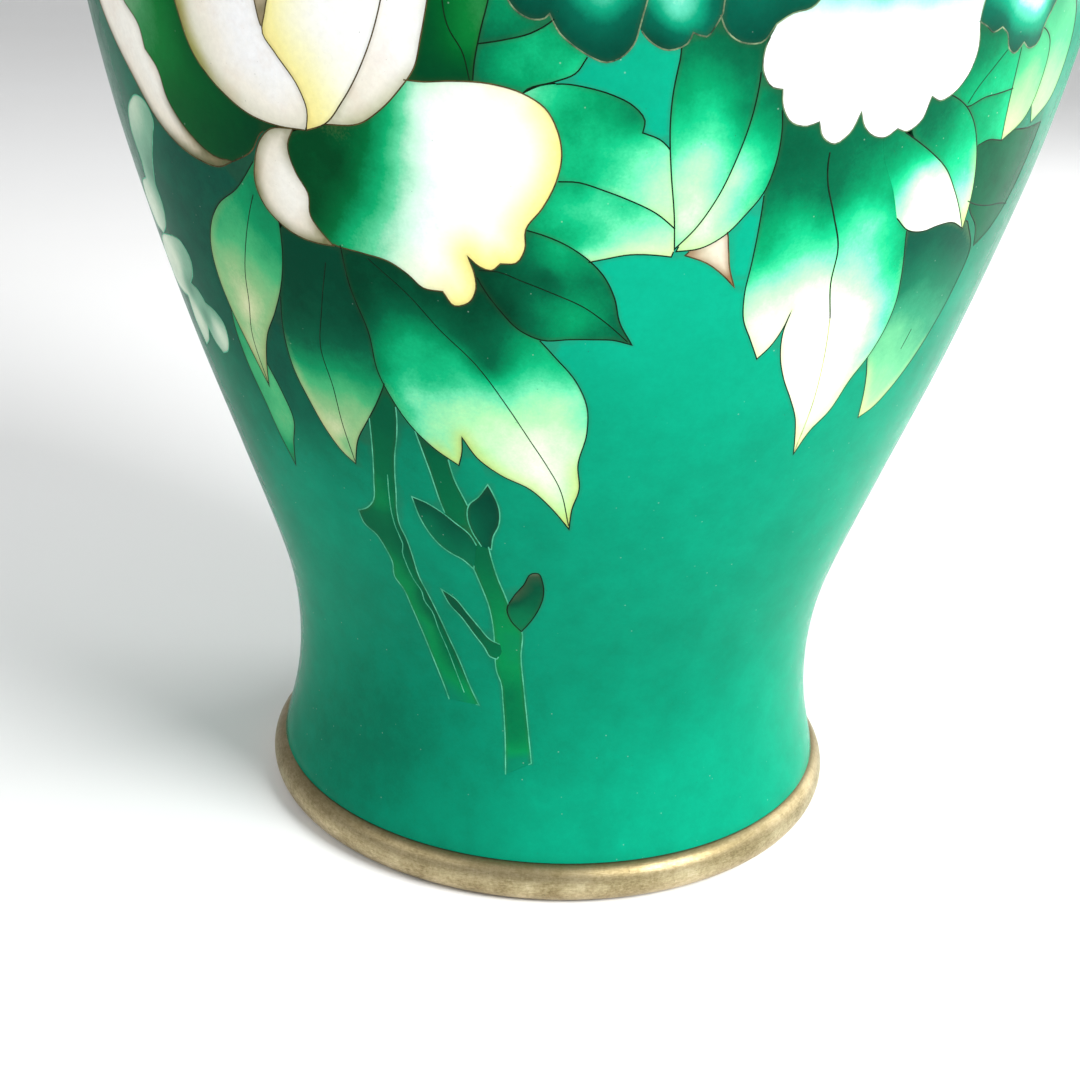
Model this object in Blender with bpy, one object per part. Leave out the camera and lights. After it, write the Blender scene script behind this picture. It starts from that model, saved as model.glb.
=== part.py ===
"""Cloisonne vase: a spun copper body with a silver foot ring and mouth ring, enamelled inside, underneath
and outside.  The outside is a turquoise-green ground with a spray of peonies, leaves and stems laid into it.
Every enamel cell is its own inlay, 1 mm deep, and is bounded by the 0.3 mm gap in which its cloison wire
stands.  Metres, +Z up, origin on the axis at floor level, the decorated front faces -Y.

Positions on the wall are pairs (turn, height): degrees round the axis from the front, positive towards +X,
and millimetres above the floor.
"""

import math

import bmesh
import bpy
from mathutils import Vector
from mathutils.geometry import delaunay_2d_cdt

MM = 0.001
GAP = 0.3 * MM  # wire thickness between two cells, also the least gap between neighbours
LAYER_GAP = 0.6 * MM  # between two layers of the wall, wider because round faces are faceted
ENAMEL = 1.0 * MM  # outer enamel
COPPER = 1.0 * MM  # copper wall
LINING = 0.6 * MM  # counter-enamel inside and underneath

HEIGHT = 254 * MM
FOOT_RADIUS = 50 * MM
FOOT_TOP = 6.6 * MM
RING_WIDTH = 6.5 * MM

STEPS = 40  # facets round the axis
COLUMN = 360 / STEPS
SEAM = -108  # degrees, a plain stretch of wall: the unrolled ground starts and ends here
FLAT_RADIUS = 60 * MM  # radius used to unroll the wall to a flat sheet
# Heights of the wall's facets, mm, from the top of the foot ring to the underside of the mouth ring
ROWS = [7, 18, 30, 43, 57, 72, 88, 105, 122, 139, 156, 172, 186, 199, 211, 222, 231, 238, 244, 249.4]

# Height and outer radius of the wall, mm: waist above the foot, full shoulder, short neck, everted mouth
PROFILE = [(7, 47.9), (16, 45.8), (25, 45.0), (35, 45.6), (44, 47.6), (63, 54.2), (82, 61.0), (100, 66.7),
           (118, 71.6), (137, 75.3), (155, 77.4), (168, 77.8), (182, 76.2), (196, 71.4), (207, 65.0),
           (216, 57.0), (224, 48.4), (230, 42.4), (236, 38.4), (241, 37.2), (245, 37.8), (250, 40.4)]

# Outlines of the cells from the topmost to the lowest, so a cell hides what it shares with a later one.
# A third value of 1 marks a corner; every other point is rounded through.
CELLS = [
    # left peony, opening upwards from a calyx at its foot
    ("petal_yellow_centre", [
        (-27, 120, 1), (-26.6, 122.5), (-27.2, 125), (-29.5, 129), (-30.6, 131), (-30, 133.5),
        (-29, 137), (-29.5, 147), (-28.5, 156), (-26, 160.5), (-23.5, 158.5, 1), (-20.5, 161),
        (-17.5, 156), (-16.5, 147), (-17.5, 137), (-19.5, 130), (-22.5, 124), (-24.8, 121)]),
    ("petal_white_left", [
        (-27.2, 120, 1), (-26, 123), (-27.5, 128), (-30.5, 131.3), (-31.1, 135), (-31.6, 143),
        (-34, 152), (-38.5, 158, 1), (-43.5, 152), (-44.5, 143), (-42.5, 135), (-40.5, 127), (-37, 123),
        (-34, 121), (-30.5, 120.1)]),
    ("petal_white_right", [
        (-24.8, 121, 1), (-21, 121.5), (-18.5, 123.5), (-16.5, 126), (-15, 128.5), (-14.2, 132),
        (-13.3, 137), (-12, 145), (-12.2, 152), (-14, 158, 1), (-18, 155), (-20, 145), (-21, 132),
        (-23, 125)]),
    ("petal_blush_back", [
        (-30.4, 129.5, 1), (-32.5, 138), (-35, 150), (-35, 158), (-31.5, 163.5, 1), (-28, 160),
        (-26, 150), (-27, 140), (-28.5, 134)]),
    ("petal_cream_curl", [
        (-28.6, 120, 1), (-29.6, 118), (-29.2, 114.5), (-28.1, 112), (-28.3, 109), (-27.2, 107),
        (-26, 105.5, 1), (-28, 105.5), (-30.5, 106), (-33, 107.5), (-34.6, 109.5), (-35.2, 112.5),
        (-34.6, 115), (-33.2, 118), (-31.5, 119.6)]),
    ("petal_large_lobed", [
        (-30, 119, 1), (-26, 121), (-22, 124), (-18, 127), (-14, 127.1), (-11.5, 127.4), (-7.5, 127.3),
        (-5, 126.5), (-3, 125), (-1.8, 122.5), (-1.3, 119.5), (-1.7, 116.5), (-3, 113), (-4.6, 110.2),
        (-4.7, 107.6), (-5.6, 105.8), (-7.2, 105.6, 1), (-8.2, 104.6), (-9.4, 105), (-10.6, 106.2, 1),
        (-10, 104), (-9.9, 102), (-10.8, 100), (-12.4, 99.4), (-13.6, 101.2, 1), (-15.8, 101.4),
        (-17.4, 103), (-19.4, 104.4), (-22.5, 105.1), (-26, 105.7), (-29.5, 108), (-30, 113)]),
    ("petal_cream_crescent", [
        (-38, 114.5, 1), (-41, 114.7), (-44, 116.5), (-47.5, 121), (-48.3, 125), (-50, 127, 1),
        (-50.3, 130), (-52.5, 132.5, 1), (-54.5, 139), (-57.5, 147), (-62, 154, 1), (-64, 146),
        (-62.5, 137), (-60.5, 131), (-58.5, 127.5), (-55.5, 123.5), (-51, 117.5), (-47.5, 115),
        (-44, 113.7), (-40.5, 113.4)]),
    ("petal_green_left", [
        (-38.5, 114.2, 1), (-34.6, 116.5), (-33, 118.8), (-30, 120.6), (-31.5, 124), (-37, 128),
        (-41, 136), (-42.5, 145), (-43, 153), (-46, 160, 1), (-52, 157), (-57.5, 150), (-56.5, 140),
        (-53.5, 133), (-51, 126), (-48.5, 119.5), (-43, 115)]),
    # middle flower: ruffled dark petals
    ("petal_teal_left", [
        (-2.8, 135.4, 1), (-2.4, 134.4), (-1.9, 133.4), (-1.1, 132.5), (-0.2, 131.7), (0.8, 131),
        (2.3, 130.4), (3.4, 130.9), (4.5, 132.4), (5, 134.8, 1), (6, 142), (5.5, 150), (2, 156, 1),
        (-3, 151), (-6.2, 144), (-7, 139.5), (-6.4, 136.7), (-5.4, 135.3), (-4.1, 134.7), (-3.2, 134.9)]),
    ("petal_teal_middle", [
        (4.8, 134.5, 1), (5.8, 133), (7.6, 132), (9.2, 132.8), (9.6, 134, 1), (10.8, 133.6),
        (11.5, 134.8), (12, 136.2, 1), (12, 143), (10.5, 151), (7.5, 156.5, 1), (4, 151), (4, 142)]),
    ("petal_teal_right", [
        (11.8, 136, 1), (12.6, 134.2), (14, 133.1), (15.8, 133.1), (17, 135.2, 1), (18.4, 136.4),
        (20, 137), (21.4, 139.5, 1), (20.5, 147), (15.5, 156, 1), (9.5, 152), (10.5, 143)]),
    ("petal_teal_crown", [
        (-4.5, 149, 1), (-6.5, 156), (-5, 161.5, 1), (-1.5, 165.5), (2.5, 165, 1), (6.5, 169.5),
        (11, 166.5, 1), (15.5, 165), (18.5, 160, 1), (19.2, 154), (18, 149), (12, 146), (7, 146),
        (2, 146)]),
    # right peony: a wide scalloped petal below its crown
    ("petal_white_scalloped", [
        (17, 135, 1), (16.3, 132.5), (16.6, 129.5), (17.6, 128.1), (18.6, 127.9, 1), (19, 125.8),
        (20.2, 124), (21.8, 123.6), (23, 124.1, 1), (23.8, 122.2), (25.2, 121.4), (26.6, 122.6),
        (27.4, 125.2, 1), (28.2, 123.4), (29.6, 122.2), (31, 122), (32.3, 123, 1), (33.6, 122.6),
        (35, 123.6), (35.7, 126.8, 1), (37, 126.2), (38.6, 127), (40, 129), (40.5, 132), (39.6, 136),
        (39.5, 142), (35.5, 148), (28, 150.5), (21, 147.5), (19, 141)]),
    ("petal_white_crown", [
        (21, 145, 1), (28, 148), (37, 144), (42, 150), (42.5, 157, 1), (39.5, 163), (35, 164.5, 1),
        (30, 168.5), (25, 165.5, 1), (21, 163), (20.2, 154)]),
    ("petal_teal_far", [
        (38.5, 136, 1), (41, 134.9), (42.2, 134.2), (43.4, 134.8, 1), (44.6, 134), (45.6, 132.2),
        (47, 131.5), (48.2, 132.8, 1), (49.6, 132), (51, 132.4), (51.6, 135), (53.5, 140), (53, 148),
        (48.5, 154, 1), (41, 150), (38.5, 143)]),
    # leaves between the flowers
    ("leaf_crown_left", [
        (-9.6, 126.5, 1), (-9.3, 130), (-8.8, 133), (-8, 137), (-7.5, 144), (-9.5, 153, 1),
        (-13.5, 150), (-16, 138), (-17, 130), (-15, 126)]),
    ("leaf_crown_middle", [
        (-9.6, 131.6, 1), (-6.5, 132.4), (-4.4, 133.2), (-2, 135.4), (-2, 142), (-3.5, 150),
        (-7, 153, 1), (-9, 146), (-9.5, 138)]),
    ("leaf_crown_low", [
        (-9.9, 126.4, 1), (-10.2, 130), (-9, 133), (-5, 135), (-2, 135), (-0.4, 133), (0.6, 130.9, 1),
        (-0.4, 129), (-2.2, 128), (-4.6, 127), (-6, 125), (-8, 125)]),
    ("leaf_upright_left", [
        (10.4, 108.4, 1), (10, 112), (9, 118.5), (8.5, 123), (8.4, 127), (8.7, 131), (9.2, 136),
        (12, 137.5), (15.5, 135), (16.2, 130.5), (16.1, 125), (15.3, 120), (13.8, 114.5),
        (12.2, 111)]),
    ("leaf_upright_right", [
        (10.6, 108.1, 1), (13, 108.5), (15.4, 110.2), (17.2, 112.8), (18.6, 115.4), (19.3, 119),
        (19.3, 123), (18.4, 128), (17, 135, 1), (14, 131), (14, 122), (12.4, 114)]),
    ("leaf_cream_tip", [
        (11.6, 107.6, 1), (13.5, 110), (15.3, 111), (16.1, 108.4), (16.6, 106), (17.6, 103.3, 1),
        (16, 105), (14, 106.6)]),
    ("leaf_split_upper", [
        (-5.2, 126.3, 1), (-3.5, 127.4), (-1.5, 127.8), (0.8, 127.5), (3, 126.8), (5, 125.6),
        (6.1, 124), (6, 122.6, 1), (7.6, 121.9), (9.4, 119.8, 1), (10.6, 116), (10.6, 110.6, 1),
        (8, 113), (5.5, 114.4), (3, 115.5), (0.5, 116.4), (-2.8, 116.6), (-5, 119), (-5, 123)]),
    ("leaf_dark_pointed", [
        (-5, 110.3, 1), (-3, 109.7), (-0.8, 108.7), (1.5, 107), (3.4, 104.8), (4.8, 101.8), (5.6, 98.5),
        (7.2, 95.4, 1), (5, 96), (3, 96), (0.5, 95.9), (-2.8, 95.6), (-5, 96.6), (-7.5, 99.5),
        (-9.5, 103), (-10.8, 107, 1), (-8, 109.5)]),
    ("leaf_split_lower", [
        (-3.8, 118, 1), (1, 118), (6, 116), (11, 112), (10.2, 107.4, 1), (8.6, 107.6), (6, 107.6),
        (3, 106.8), (0, 106), (-5, 108), (-4.6, 113)]),
    ("leaf_broad", [
        (-25.2, 107, 1), (-24.8, 100), (-23.4, 94), (-23, 88), (-21.8, 84.6), (-19.6, 80.6),
        (-17, 77.8), (-13.6, 75.4, 1), (-13, 77.6), (-12.8, 80, 1), (-11, 77), (-8, 74.6), (-4, 72.6),
        (-1, 69.6), (1.6, 66.2, 1), (1.8, 69.5), (2.6, 73), (2.2, 77), (3, 82), (2.8, 86), (1.2, 90),
        (-1.5, 93.6), (-4, 97), (-6, 102), (-9, 108), (-16, 108)]),
    ("leaf_left", [
        (-34.4, 115.5, 1), (-38.6, 110.8), (-42.4, 108.2), (-45.2, 105), (-47, 101), (-47.4, 97),
        (-46.8, 92.5), (-45.2, 87), (-43.5, 81.4, 1), (-42, 86), (-40.2, 90), (-37.4, 94), (-35.2, 98),
        (-33.8, 102), (-33, 107), (-33, 112)]),
    ("leaf_narrow", [
        (-30, 72.4, 1), (-28.6, 76.4), (-26, 80.4), (-24, 83.6), (-22, 88), (-21.5, 95), (-22, 104),
        (-26, 108), (-31, 108.5), (-33.9, 105), (-35.3, 98), (-36.8, 91), (-36.8, 86), (-35.4, 81),
        (-33.6, 76.5), (-31.6, 73.6)]),
    ("leaf_left_low", [
        (-46.5, 94, 1), (-47.4, 89), (-47.2, 84), (-46, 78), (-45.2, 73), (-43.9, 68.4, 1),
        (-42.2, 72.6), (-40.2, 77.2), (-40.8, 81), (-42.5, 86), (-44.5, 92)]),
    ("leaf_far_left", [
        (-58.8, 100.2, 1), (-55.8, 99.9), (-54.4, 97.9), (-55.4, 95.4), (-57.8, 93.4, 1), (-55.6, 92.8),
        (-54.4, 91.2, 1), (-52.2, 90.7), (-50.5, 89.2), (-50.7, 86.8), (-52.3, 84.5), (-54.4, 83.6, 1),
        (-56.2, 85), (-56.9, 86.9, 1), (-58.8, 84.6), (-61.9, 82.8, 1), (-63, 86.2), (-62, 90.4, 1),
        (-65, 90.3), (-69, 91.4), (-69.5, 95), (-66, 98.4)]),
    ("leaf_far_left_high", [
        (-55.5, 120.3), (-58.2, 119.3), (-60.8, 117.2), (-62.2, 114), (-61.8, 110.5), (-62.6, 107.7, 1),
        (-66.4, 106.4), (-68.6, 103.4), (-67.4, 100.4), (-63.6, 99.4, 1), (-60, 101.6), (-58.4, 104.6),
        (-58.6, 107.6, 1), (-56.6, 111.2), (-54, 115), (-52.5, 117.6), (-53.3, 119.6)]),
    ("leaf_white_tip", [
        (30, 125, 1), (33, 122.8), (35.5, 121.3), (38.2, 119.6), (41.2, 117.4), (44, 114.4),
        (46.6, 111.4), (49, 108.4, 1), (46, 109.6), (43.5, 109.5), (41, 109), (38.5, 109.4),
        (36, 111.3, 1), (34.2, 115), (31.8, 119)]),
    ("leaf_right_large", [
        (17, 133, 1), (18, 126), (18.5, 119), (18.9, 112), (19, 106.5), (19, 102), (19.6, 98.6),
        (20.9, 96), (22.5, 92.9, 1), (23.8, 94.6), (24.8, 97), (25.3, 99.6, 1), (25, 96.8), (25.6, 93),
        (27, 89.6), (29, 86.3), (31, 82.8), (32, 80), (33, 76.8, 1), (34.4, 80.5), (36.4, 83),
        (38.2, 88), (40, 91.4), (41, 95), (41.1, 99), (40.2, 103), (38.8, 107.5), (37, 113), (34, 119),
        (33, 126), (28, 128), (22, 129)]),
    ("leaf_narrow_right", [
        (35, 127.5, 1), (39, 126.6), (41.4, 125.2), (43.4, 123.2), (45.2, 120.4), (46.8, 117),
        (48.2, 113), (49.2, 108.2, 1), (46, 110.5), (42, 114), (37, 119), (34, 124)]),
    ("leaf_right_low", [
        (37, 111, 1), (38.5, 103), (39, 96), (39.8, 91), (41, 88.3), (42.2, 85), (43.4, 80.8, 1),
        (46, 82), (48.2, 84.2), (50.5, 87.6), (52.6, 92.5), (54, 99), (54, 104), (49.8, 109.2, 1),
        (44, 111)]),
    ("leaf_pale_right", [
        (47.8, 134, 1), (51.5, 134.5), (54, 133), (55.5, 127.5), (54.6, 123), (50.4, 120.1, 1),
        (49.6, 123), (48.8, 127), (48.2, 131)]),
    ("leaf_veined_upper", [
        (40, 139, 1), (44, 138), (48, 136), (49, 131), (49, 127, 1), (46, 126.5), (44, 126.2),
        (42, 125.3, 1), (39, 125), (37.5, 130)]),
    ("leaf_veined_lower", [
        (40.5, 127, 1), (45, 128.5), (50, 128, 1), (50.8, 124.2), (50.2, 120.2, 1), (47.5, 120.5),
        (44.5, 119.8), (42.5, 121)]),
    ("leaf_dark_right", [
        (44.5, 120.6, 1), (50, 121.4), (57, 121.2), (61, 121.5, 1), (61, 116), (60, 111), (57.5, 107),
        (54.5, 105, 1), (52.5, 108), (49, 111), (47, 114)]),
    ("leaf_far_right", [
        (51, 140, 1), (58, 138), (62, 131), (61.5, 125), (57, 121.8, 1), (54, 126), (51, 132)]),
    # buds and stems under the leaves
    ("bud_left", [
        (-21.5, 68.8, 1), (-19.3, 68.2), (-17.9, 67.5), (-15.2, 65.5), (-13, 63.6), (-12.2, 62, 1),
        (-13, 57.6, 1), (-14.7, 59.1), (-16.5, 59.9), (-18.2, 61.1), (-19.7, 63), (-20.8, 65.4)]),
    ("bud_upright", [
        (-9.8, 72.8, 1), (-11.3, 70.5), (-12.8, 68.9), (-13.2, 67), (-12.7, 64.4), (-11.4, 61.9, 1),
        (-9.9, 61.6, 1), (-9.5, 63.9), (-8.6, 65.9), (-8.4, 68.8), (-9.1, 71.2)]),
    ("bud_side", [
        (-5.5, 46.8, 1), (-7.2, 48.6), (-7.9, 50.7), (-6.8, 53.2), (-5, 55.7), (-3.7, 57.9), (-2.7, 58),
        (-2, 56.4), (-1.8, 54.1), (-2.6, 51.2), (-4, 48.7)]),
    ("twig_dark", [
        (-19.2, 52.8, 1), (-16.9, 51.5), (-15, 49.1), (-12.9, 46.5), (-11.2, 44.6), (-9.4, 43.9, 1),
        (-9.2, 42.4), (-10.1, 41, 1), (-11.4, 41.3), (-12.3, 42.8), (-14.2, 45.3), (-16, 47.9),
        (-18.2, 50.4)]),
    ("stem_right", [
        (-13.2, 58.2, 1), (-12, 54.5), (-11, 51), (-10.5, 47), (-10.4, 43), (-10.2, 38.6), (-9.4, 36.6),
        (-9, 33), (-8.5, 28), (-8, 20.5, 1), (-3, 22.8, 1), (-4, 29), (-5, 36), (-5.6, 42),
        (-5.4, 46.8), (-7.2, 50.6), (-8.2, 53.6), (-9.2, 56.5), (-10, 60), (-10.6, 64, 1),
        (-12.6, 63.5, 1)]),
    ("stem_upper", [
        (-19.6, 82, 1), (-18, 74), (-16.6, 67), (-15, 63, 1), (-11.8, 63.6, 1), (-12.8, 68.2),
        (-14.5, 73), (-15.4, 80, 1)]),
    ("stem_left", [
        (-25, 88, 1), (-25.6, 82), (-26.5, 75), (-27.4, 70.5), (-28.6, 66.4), (-30, 65), (-32, 64, 1),
        (-31.6, 62), (-29.5, 60.3), (-28.5, 58.4), (-27.7, 55.8), (-28, 53.2), (-26.7, 51.2),
        (-25.8, 48.1), (-24.6, 44), (-23.3, 40), (-20, 32, 1), (-13.8, 32, 1), (-15.5, 35), (-17.6, 40),
        (-19.1, 43.6), (-20.3, 47), (-21.9, 51.4), (-22.9, 54), (-23.5, 58.5), (-23.9, 61),
        (-24.6, 63.3), (-24.6, 65.4), (-24, 69), (-23.5, 72.5), (-22.9, 75.5), (-22.1, 78.4),
        (-21.5, 82), (-21.6, 88, 1)]),
    # ground enclosed by the leaves and the middle flower
    ("enamel_ground_patch", [
        (-2.2, 127.9, 1), (0.5, 133), (3, 134.5), (6.5, 135), (9.8, 135, 1), (10.4, 128), (10.2, 121),
        (8.6, 118.4, 1), (5.4, 120.6), (4, 124.5), (1, 126.8)]),
]


def leaf(base, tip, width, bow):
    """The outline of a pointed leaf between two places, this wide (mm) and bowed sideways (mm)."""
    scale = math.pi / 180 * 65  # millimetres round the wall for each degree, near the belly
    along = Vector(((tip[0] - base[0]) * scale, tip[1] - base[1]))
    across = Vector((-along.y, along.x)).normalized()
    outline = [(*base, 1)]
    shares = (0.12, 0.32, 0.55, 0.75, 0.9)
    for side, stops in ((-1, shares), (1, shares[::-1])):
        for share in stops:
            half = width / 2 * math.sin(math.pi * share**0.8)
            offset = across * (side * half + bow * 4 * share * (1 - share))
            turn = base[0] + (along.x * share + offset.x) / scale
            outline.append((turn, base[1] + along.y * share + offset.y))
        if side < 0:
            outline.append((*tip, 1))
    return outline


def ruffled(turn, height, half_turn, half_height, lobes):
    """The outline of a ruffled flower: an oval of equal lobes that meet in notches."""
    outline = []
    for i in range(lobes):
        for share, reach in ((0, 0.88), (0.22, 0.99), (0.5, 1.04), (0.78, 0.99)):
            angle = 2 * math.pi * (i + share) / lobes + math.pi / 2
            point = (turn + reach * half_turn * math.cos(angle),
                     height + reach * half_height * math.sin(angle))
            outline.append((*point, 1) if share == 0 else point)
    return outline


# The back carries one more flower on its own stem, with three leaves
CELLS += [
    ("flower_back_heart", ruffled(178, 150, 8, 10, 5)),
    ("flower_back_petals", ruffled(178, 148, 20, 24, 8)),
    ("leaf_back_left", leaf((181, 118), (217, 84), 21, -3)),
    ("leaf_back_right", leaf((177, 122), (141, 92), 20, 3)),
    ("leaf_back_low", leaf((178, 92), (160, 56), 15, 2)),
    ("stem_back", [
        (176.3, 128, 1), (176.6, 108), (177.8, 88), (179.4, 68), (183, 48), (188, 30, 1),
        (191.6, 31, 1), (186.6, 48), (182.8, 67), (180.8, 88), (179.4, 108), (179, 128, 1)]),
]

COLOURS = {  # linear base colours of the enamels, by the first word that is in a cell's name
    "ground": (0.0, 0.36, 0.25),
    "yellow": (0.86, 0.80, 0.52), "blush": (0.78, 0.62, 0.52), "white": (0.86, 0.86, 0.80),
    "cream": (0.80, 0.74, 0.60), "large": (0.80, 0.84, 0.72), "teal": (0.01, 0.20, 0.17),
    "green": (0.02, 0.19, 0.08), "dark": (0.005, 0.10, 0.06), "pale": (0.32, 0.62, 0.34),
    "far_left": (0.18, 0.42, 0.30), "heart": (0.80, 0.70, 0.42), "petals": (0.80, 0.82, 0.74),
    "bud_side": (0.05, 0.09, 0.04), "bud": (0.005, 0.13, 0.08), "stem": (0.005, 0.17, 0.09),
    "leaf": (0.02, 0.40, 0.20),
}


def radius(height):
    """Outer radius of the wall at a height, metres, on a smooth curve through the profile."""
    height = min(max(height / MM, PROFILE[0][0]), PROFILE[-1][0])
    i = max(k for k in range(len(PROFILE) - 1) if PROFILE[k][0] <= height)
    (h0, r0), (h1, r1) = PROFILE[i], PROFILE[i + 1]

    def slope(k):
        low, high = PROFILE[max(k - 1, 0)], PROFILE[min(k + 1, len(PROFILE) - 1)]
        return (high[1] - low[1]) / (high[0] - low[0])

    span = h1 - h0
    s = (height - h0) / span
    return MM * ((2 * s**3 - 3 * s**2 + 1) * r0 + (s**3 - 2 * s**2 + s) * span * slope(i)
                 + (3 * s**2 - 2 * s**3) * r1 + (s**3 - s**2) * span * slope(i + 1))


def on_wall(turn, height, depth=0.0):
    """The point at a turn (degrees) and height (metres), this deep under the outer surface."""
    r = radius(height) - depth
    return Vector((r * math.sin(math.radians(turn)), -r * math.cos(math.radians(turn)), height))


def flat(turn, height):
    return Vector((math.radians(turn) * FLAT_RADIUS, height))


def unflat(point):
    return math.degrees(point[0] / FLAT_RADIUS), point[1]


def rounded(outline, step=2.6 * MM, slack=0.1 * MM):
    """The outline as a closed flat polygon: a smooth curve through its points, its marked corners kept."""
    points = [flat(p[0], p[1] * MM) for p in outline]
    corner = [len(p) > 2 for p in outline]
    count = len(points)
    polygon = []
    for i in range(count):
        p0, p1 = points[i], points[(i + 1) % count]
        length = (p1 - p0).length

        def tangent(k):
            before, here, after = points[k - 1], points[k], points[(k + 1) % count]
            d0, d1 = (here - before).length, (after - here).length
            return ((after - here) * d0 / d1 + (here - before) * d1 / d0) / (d0 + d1)

        t0 = (p1 - p0) / length if corner[i] else tangent(i)
        t1 = (p1 - p0) / length if corner[(i + 1) % count] else tangent((i + 1) % count)
        pieces = max(1, math.ceil(length / step))
        for k in range(pieces):
            s = k / pieces
            polygon.append((
                (2 * s**3 - 3 * s**2 + 1) * p0 + (s**3 - 2 * s**2 + s) * length * t0
                + (3 * s**2 - 2 * s**3) * p1 + (s**3 - s**2) * length * t1, corner[i] and k == 0))
    kept = []
    for i, (point, is_corner) in enumerate(polygon):  # leave out points on an almost straight run
        after = polygon[(i + 1) % len(polygon)][0]
        before = kept[-1] if kept else polygon[-1][0]
        chord = after - before
        off = abs(chord.x * (point - before).y - chord.y * (point - before).x) / max(chord.length, 1e-9)
        if is_corner or off > slack or chord.length > 9 * MM:
            kept.append(point)
    if sum(a.x * b.y - a.y * b.x for a, b in zip(kept, kept[1:] + kept[:1])) < 0:
        kept.reverse()
    return kept


def grown(polygon, by):
    """The polygon moved outwards by a real distance on the wall; a negative distance shrinks it."""
    result = []
    for i, here in enumerate(polygon):
        stretch = radius(here.y) / FLAT_RADIUS  # a flat metre round the wall is this long on it
        before = Vector(((here.x - polygon[i - 1].x) * stretch, here.y - polygon[i - 1].y)).normalized()
        after = polygon[(i + 1) % len(polygon)]
        after = Vector(((after.x - here.x) * stretch, after.y - here.y)).normalized()
        out = Vector((before.y + after.y, -before.x - after.x)).normalized()
        reach = by / max(0.35, out.dot(Vector((after.y, -after.x))))
        result.append(Vector((here.x + out.x * reach / stretch, here.y + out.y * reach)))
    return result


def inside(point, polygon):
    odd = False
    for a, b in zip(polygon, polygon[1:] + polygon[:1]):
        crosses = (a.y > point.y) != (b.y > point.y)
        if crosses and point.x < a.x + (point.y - a.y) * (b.x - a.x) / (b.y - a.y):
            odd = not odd
    return odd


def clear_of(point, polygon, least):
    for a, b in zip(polygon, polygon[1:] + polygon[:1]):
        along = (point - a).dot(b - a) / (b - a).length_squared
        nearest = a + (b - a) * min(1, max(0, along))
        if (point - nearest).length <= least:
            return False
    return True


def triangulated(sheet, holes, grid):
    """Points and triangles of a flat sheet without its holes, through its outline and the grid inside it."""
    points = list(sheet)
    faces = [list(range(len(sheet)))]
    for hole in holes:
        faces.append(list(range(len(points), len(points) + len(hole))))
        points += hole
    points += [p for p in grid if all(clear_of(p, outline, 1.6 * MM) for outline in (sheet, *holes))]
    verts, _, tris, _, _, origins = delaunay_2d_cdt(points, [], faces, 1, 1e-7)
    return verts, [t for t, origin in zip(tris, origins) if 0 in origin and not any(k > 0 for k in origin)]


def largest_body(tris):
    """The triangles of the largest edge-connected stretch."""
    at_edge = {}
    for n, t in enumerate(tris):
        for a, b in zip(t, t[1:] + t[:1]):
            at_edge.setdefault(frozenset((a, b)), []).append(n)
    seen, best = set(), []
    for n in range(len(tris)):
        if n in seen:
            continue
        seen.add(n)
        body = [n]
        for m in body:
            t = tris[m]
            for a, b in zip(t, t[1:] + t[:1]):
                for other in at_edge[frozenset((a, b))]:
                    if other not in seen:
                        seen.add(other)
                        body.append(other)
        best = max(best, body, key=len)
    return [tris[n] for n in best]


def material(name, colour, roughness, metallic=0.0, coat=0.0):
    made = bpy.data.materials.new(name)
    made.use_nodes = True
    shader = made.node_tree.nodes["Principled BSDF"]
    shader.inputs["Base Color"].default_value = (*colour, 1)
    shader.inputs["Roughness"].default_value = roughness
    shader.inputs["Metallic"].default_value = metallic
    shader.inputs["Coat Weight"].default_value = coat
    made.diffuse_color = (*colour, 1)
    return made


def add_object(name, mesh, look, parent):
    mesh.materials.append(look)
    obj = bpy.data.objects.new(name, mesh)
    bpy.context.scene.collection.objects.link(obj)
    obj.parent = parent
    return obj


def add_inlay(name, verts, tris, look, parent):
    """A flat triangulated sheet wrapped on the wall and thickened inwards to the depth of the enamel."""
    seam_end = flat(SEAM + 360, 0).x
    built = bmesh.new()
    placed, first = [], {}
    for v in verts:
        x = v[0] - 2 * math.pi * FLAT_RADIUS if abs(v[0] - seam_end) < 1e-6 else v[0]
        key = (round(x * 1e7), round(v[1] * 1e7))
        placed.append(first.setdefault(key, (x, v[1])))
    bm_verts = {}
    for t in tris:
        a, b, c = (placed[i] for i in t)
        for p in (a, b, c):
            if p not in bm_verts:
                bm_verts[p] = built.verts.new(on_wall(*unflat(p)))
        built.faces.new([bm_verts[p] for p in (a, b, c)])
    outer = {v: p for p, v in bm_verts.items()}
    bmesh.ops.recalc_face_normals(built, faces=built.faces[:])
    sheet = built.faces[:]
    if sum(f.normal.dot(Vector((f.calc_center_median().x, f.calc_center_median().y, 0))) for f in sheet) < 0:
        bmesh.ops.reverse_faces(built, faces=sheet)
    rim = [e for e in built.edges if e.is_boundary]
    copies = {v: built.verts.new(on_wall(*unflat(p), ENAMEL)) for v, p in outer.items()}
    for e in rim:
        loop = e.link_loops[0]
        a, b = loop.vert, loop.link_loop_next.vert
        built.faces.new([b, a, copies[a], copies[b]])
    for f in sheet:
        built.faces.new([copies[v] for v in reversed(f.verts)])
    mesh = bpy.data.meshes.new(name)
    built.to_mesh(mesh)
    built.free()
    mesh.shade_smooth()
    mesh.set_sharp_from_angle(angle=math.radians(35))
    return add_object(name, mesh, look, parent)


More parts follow.
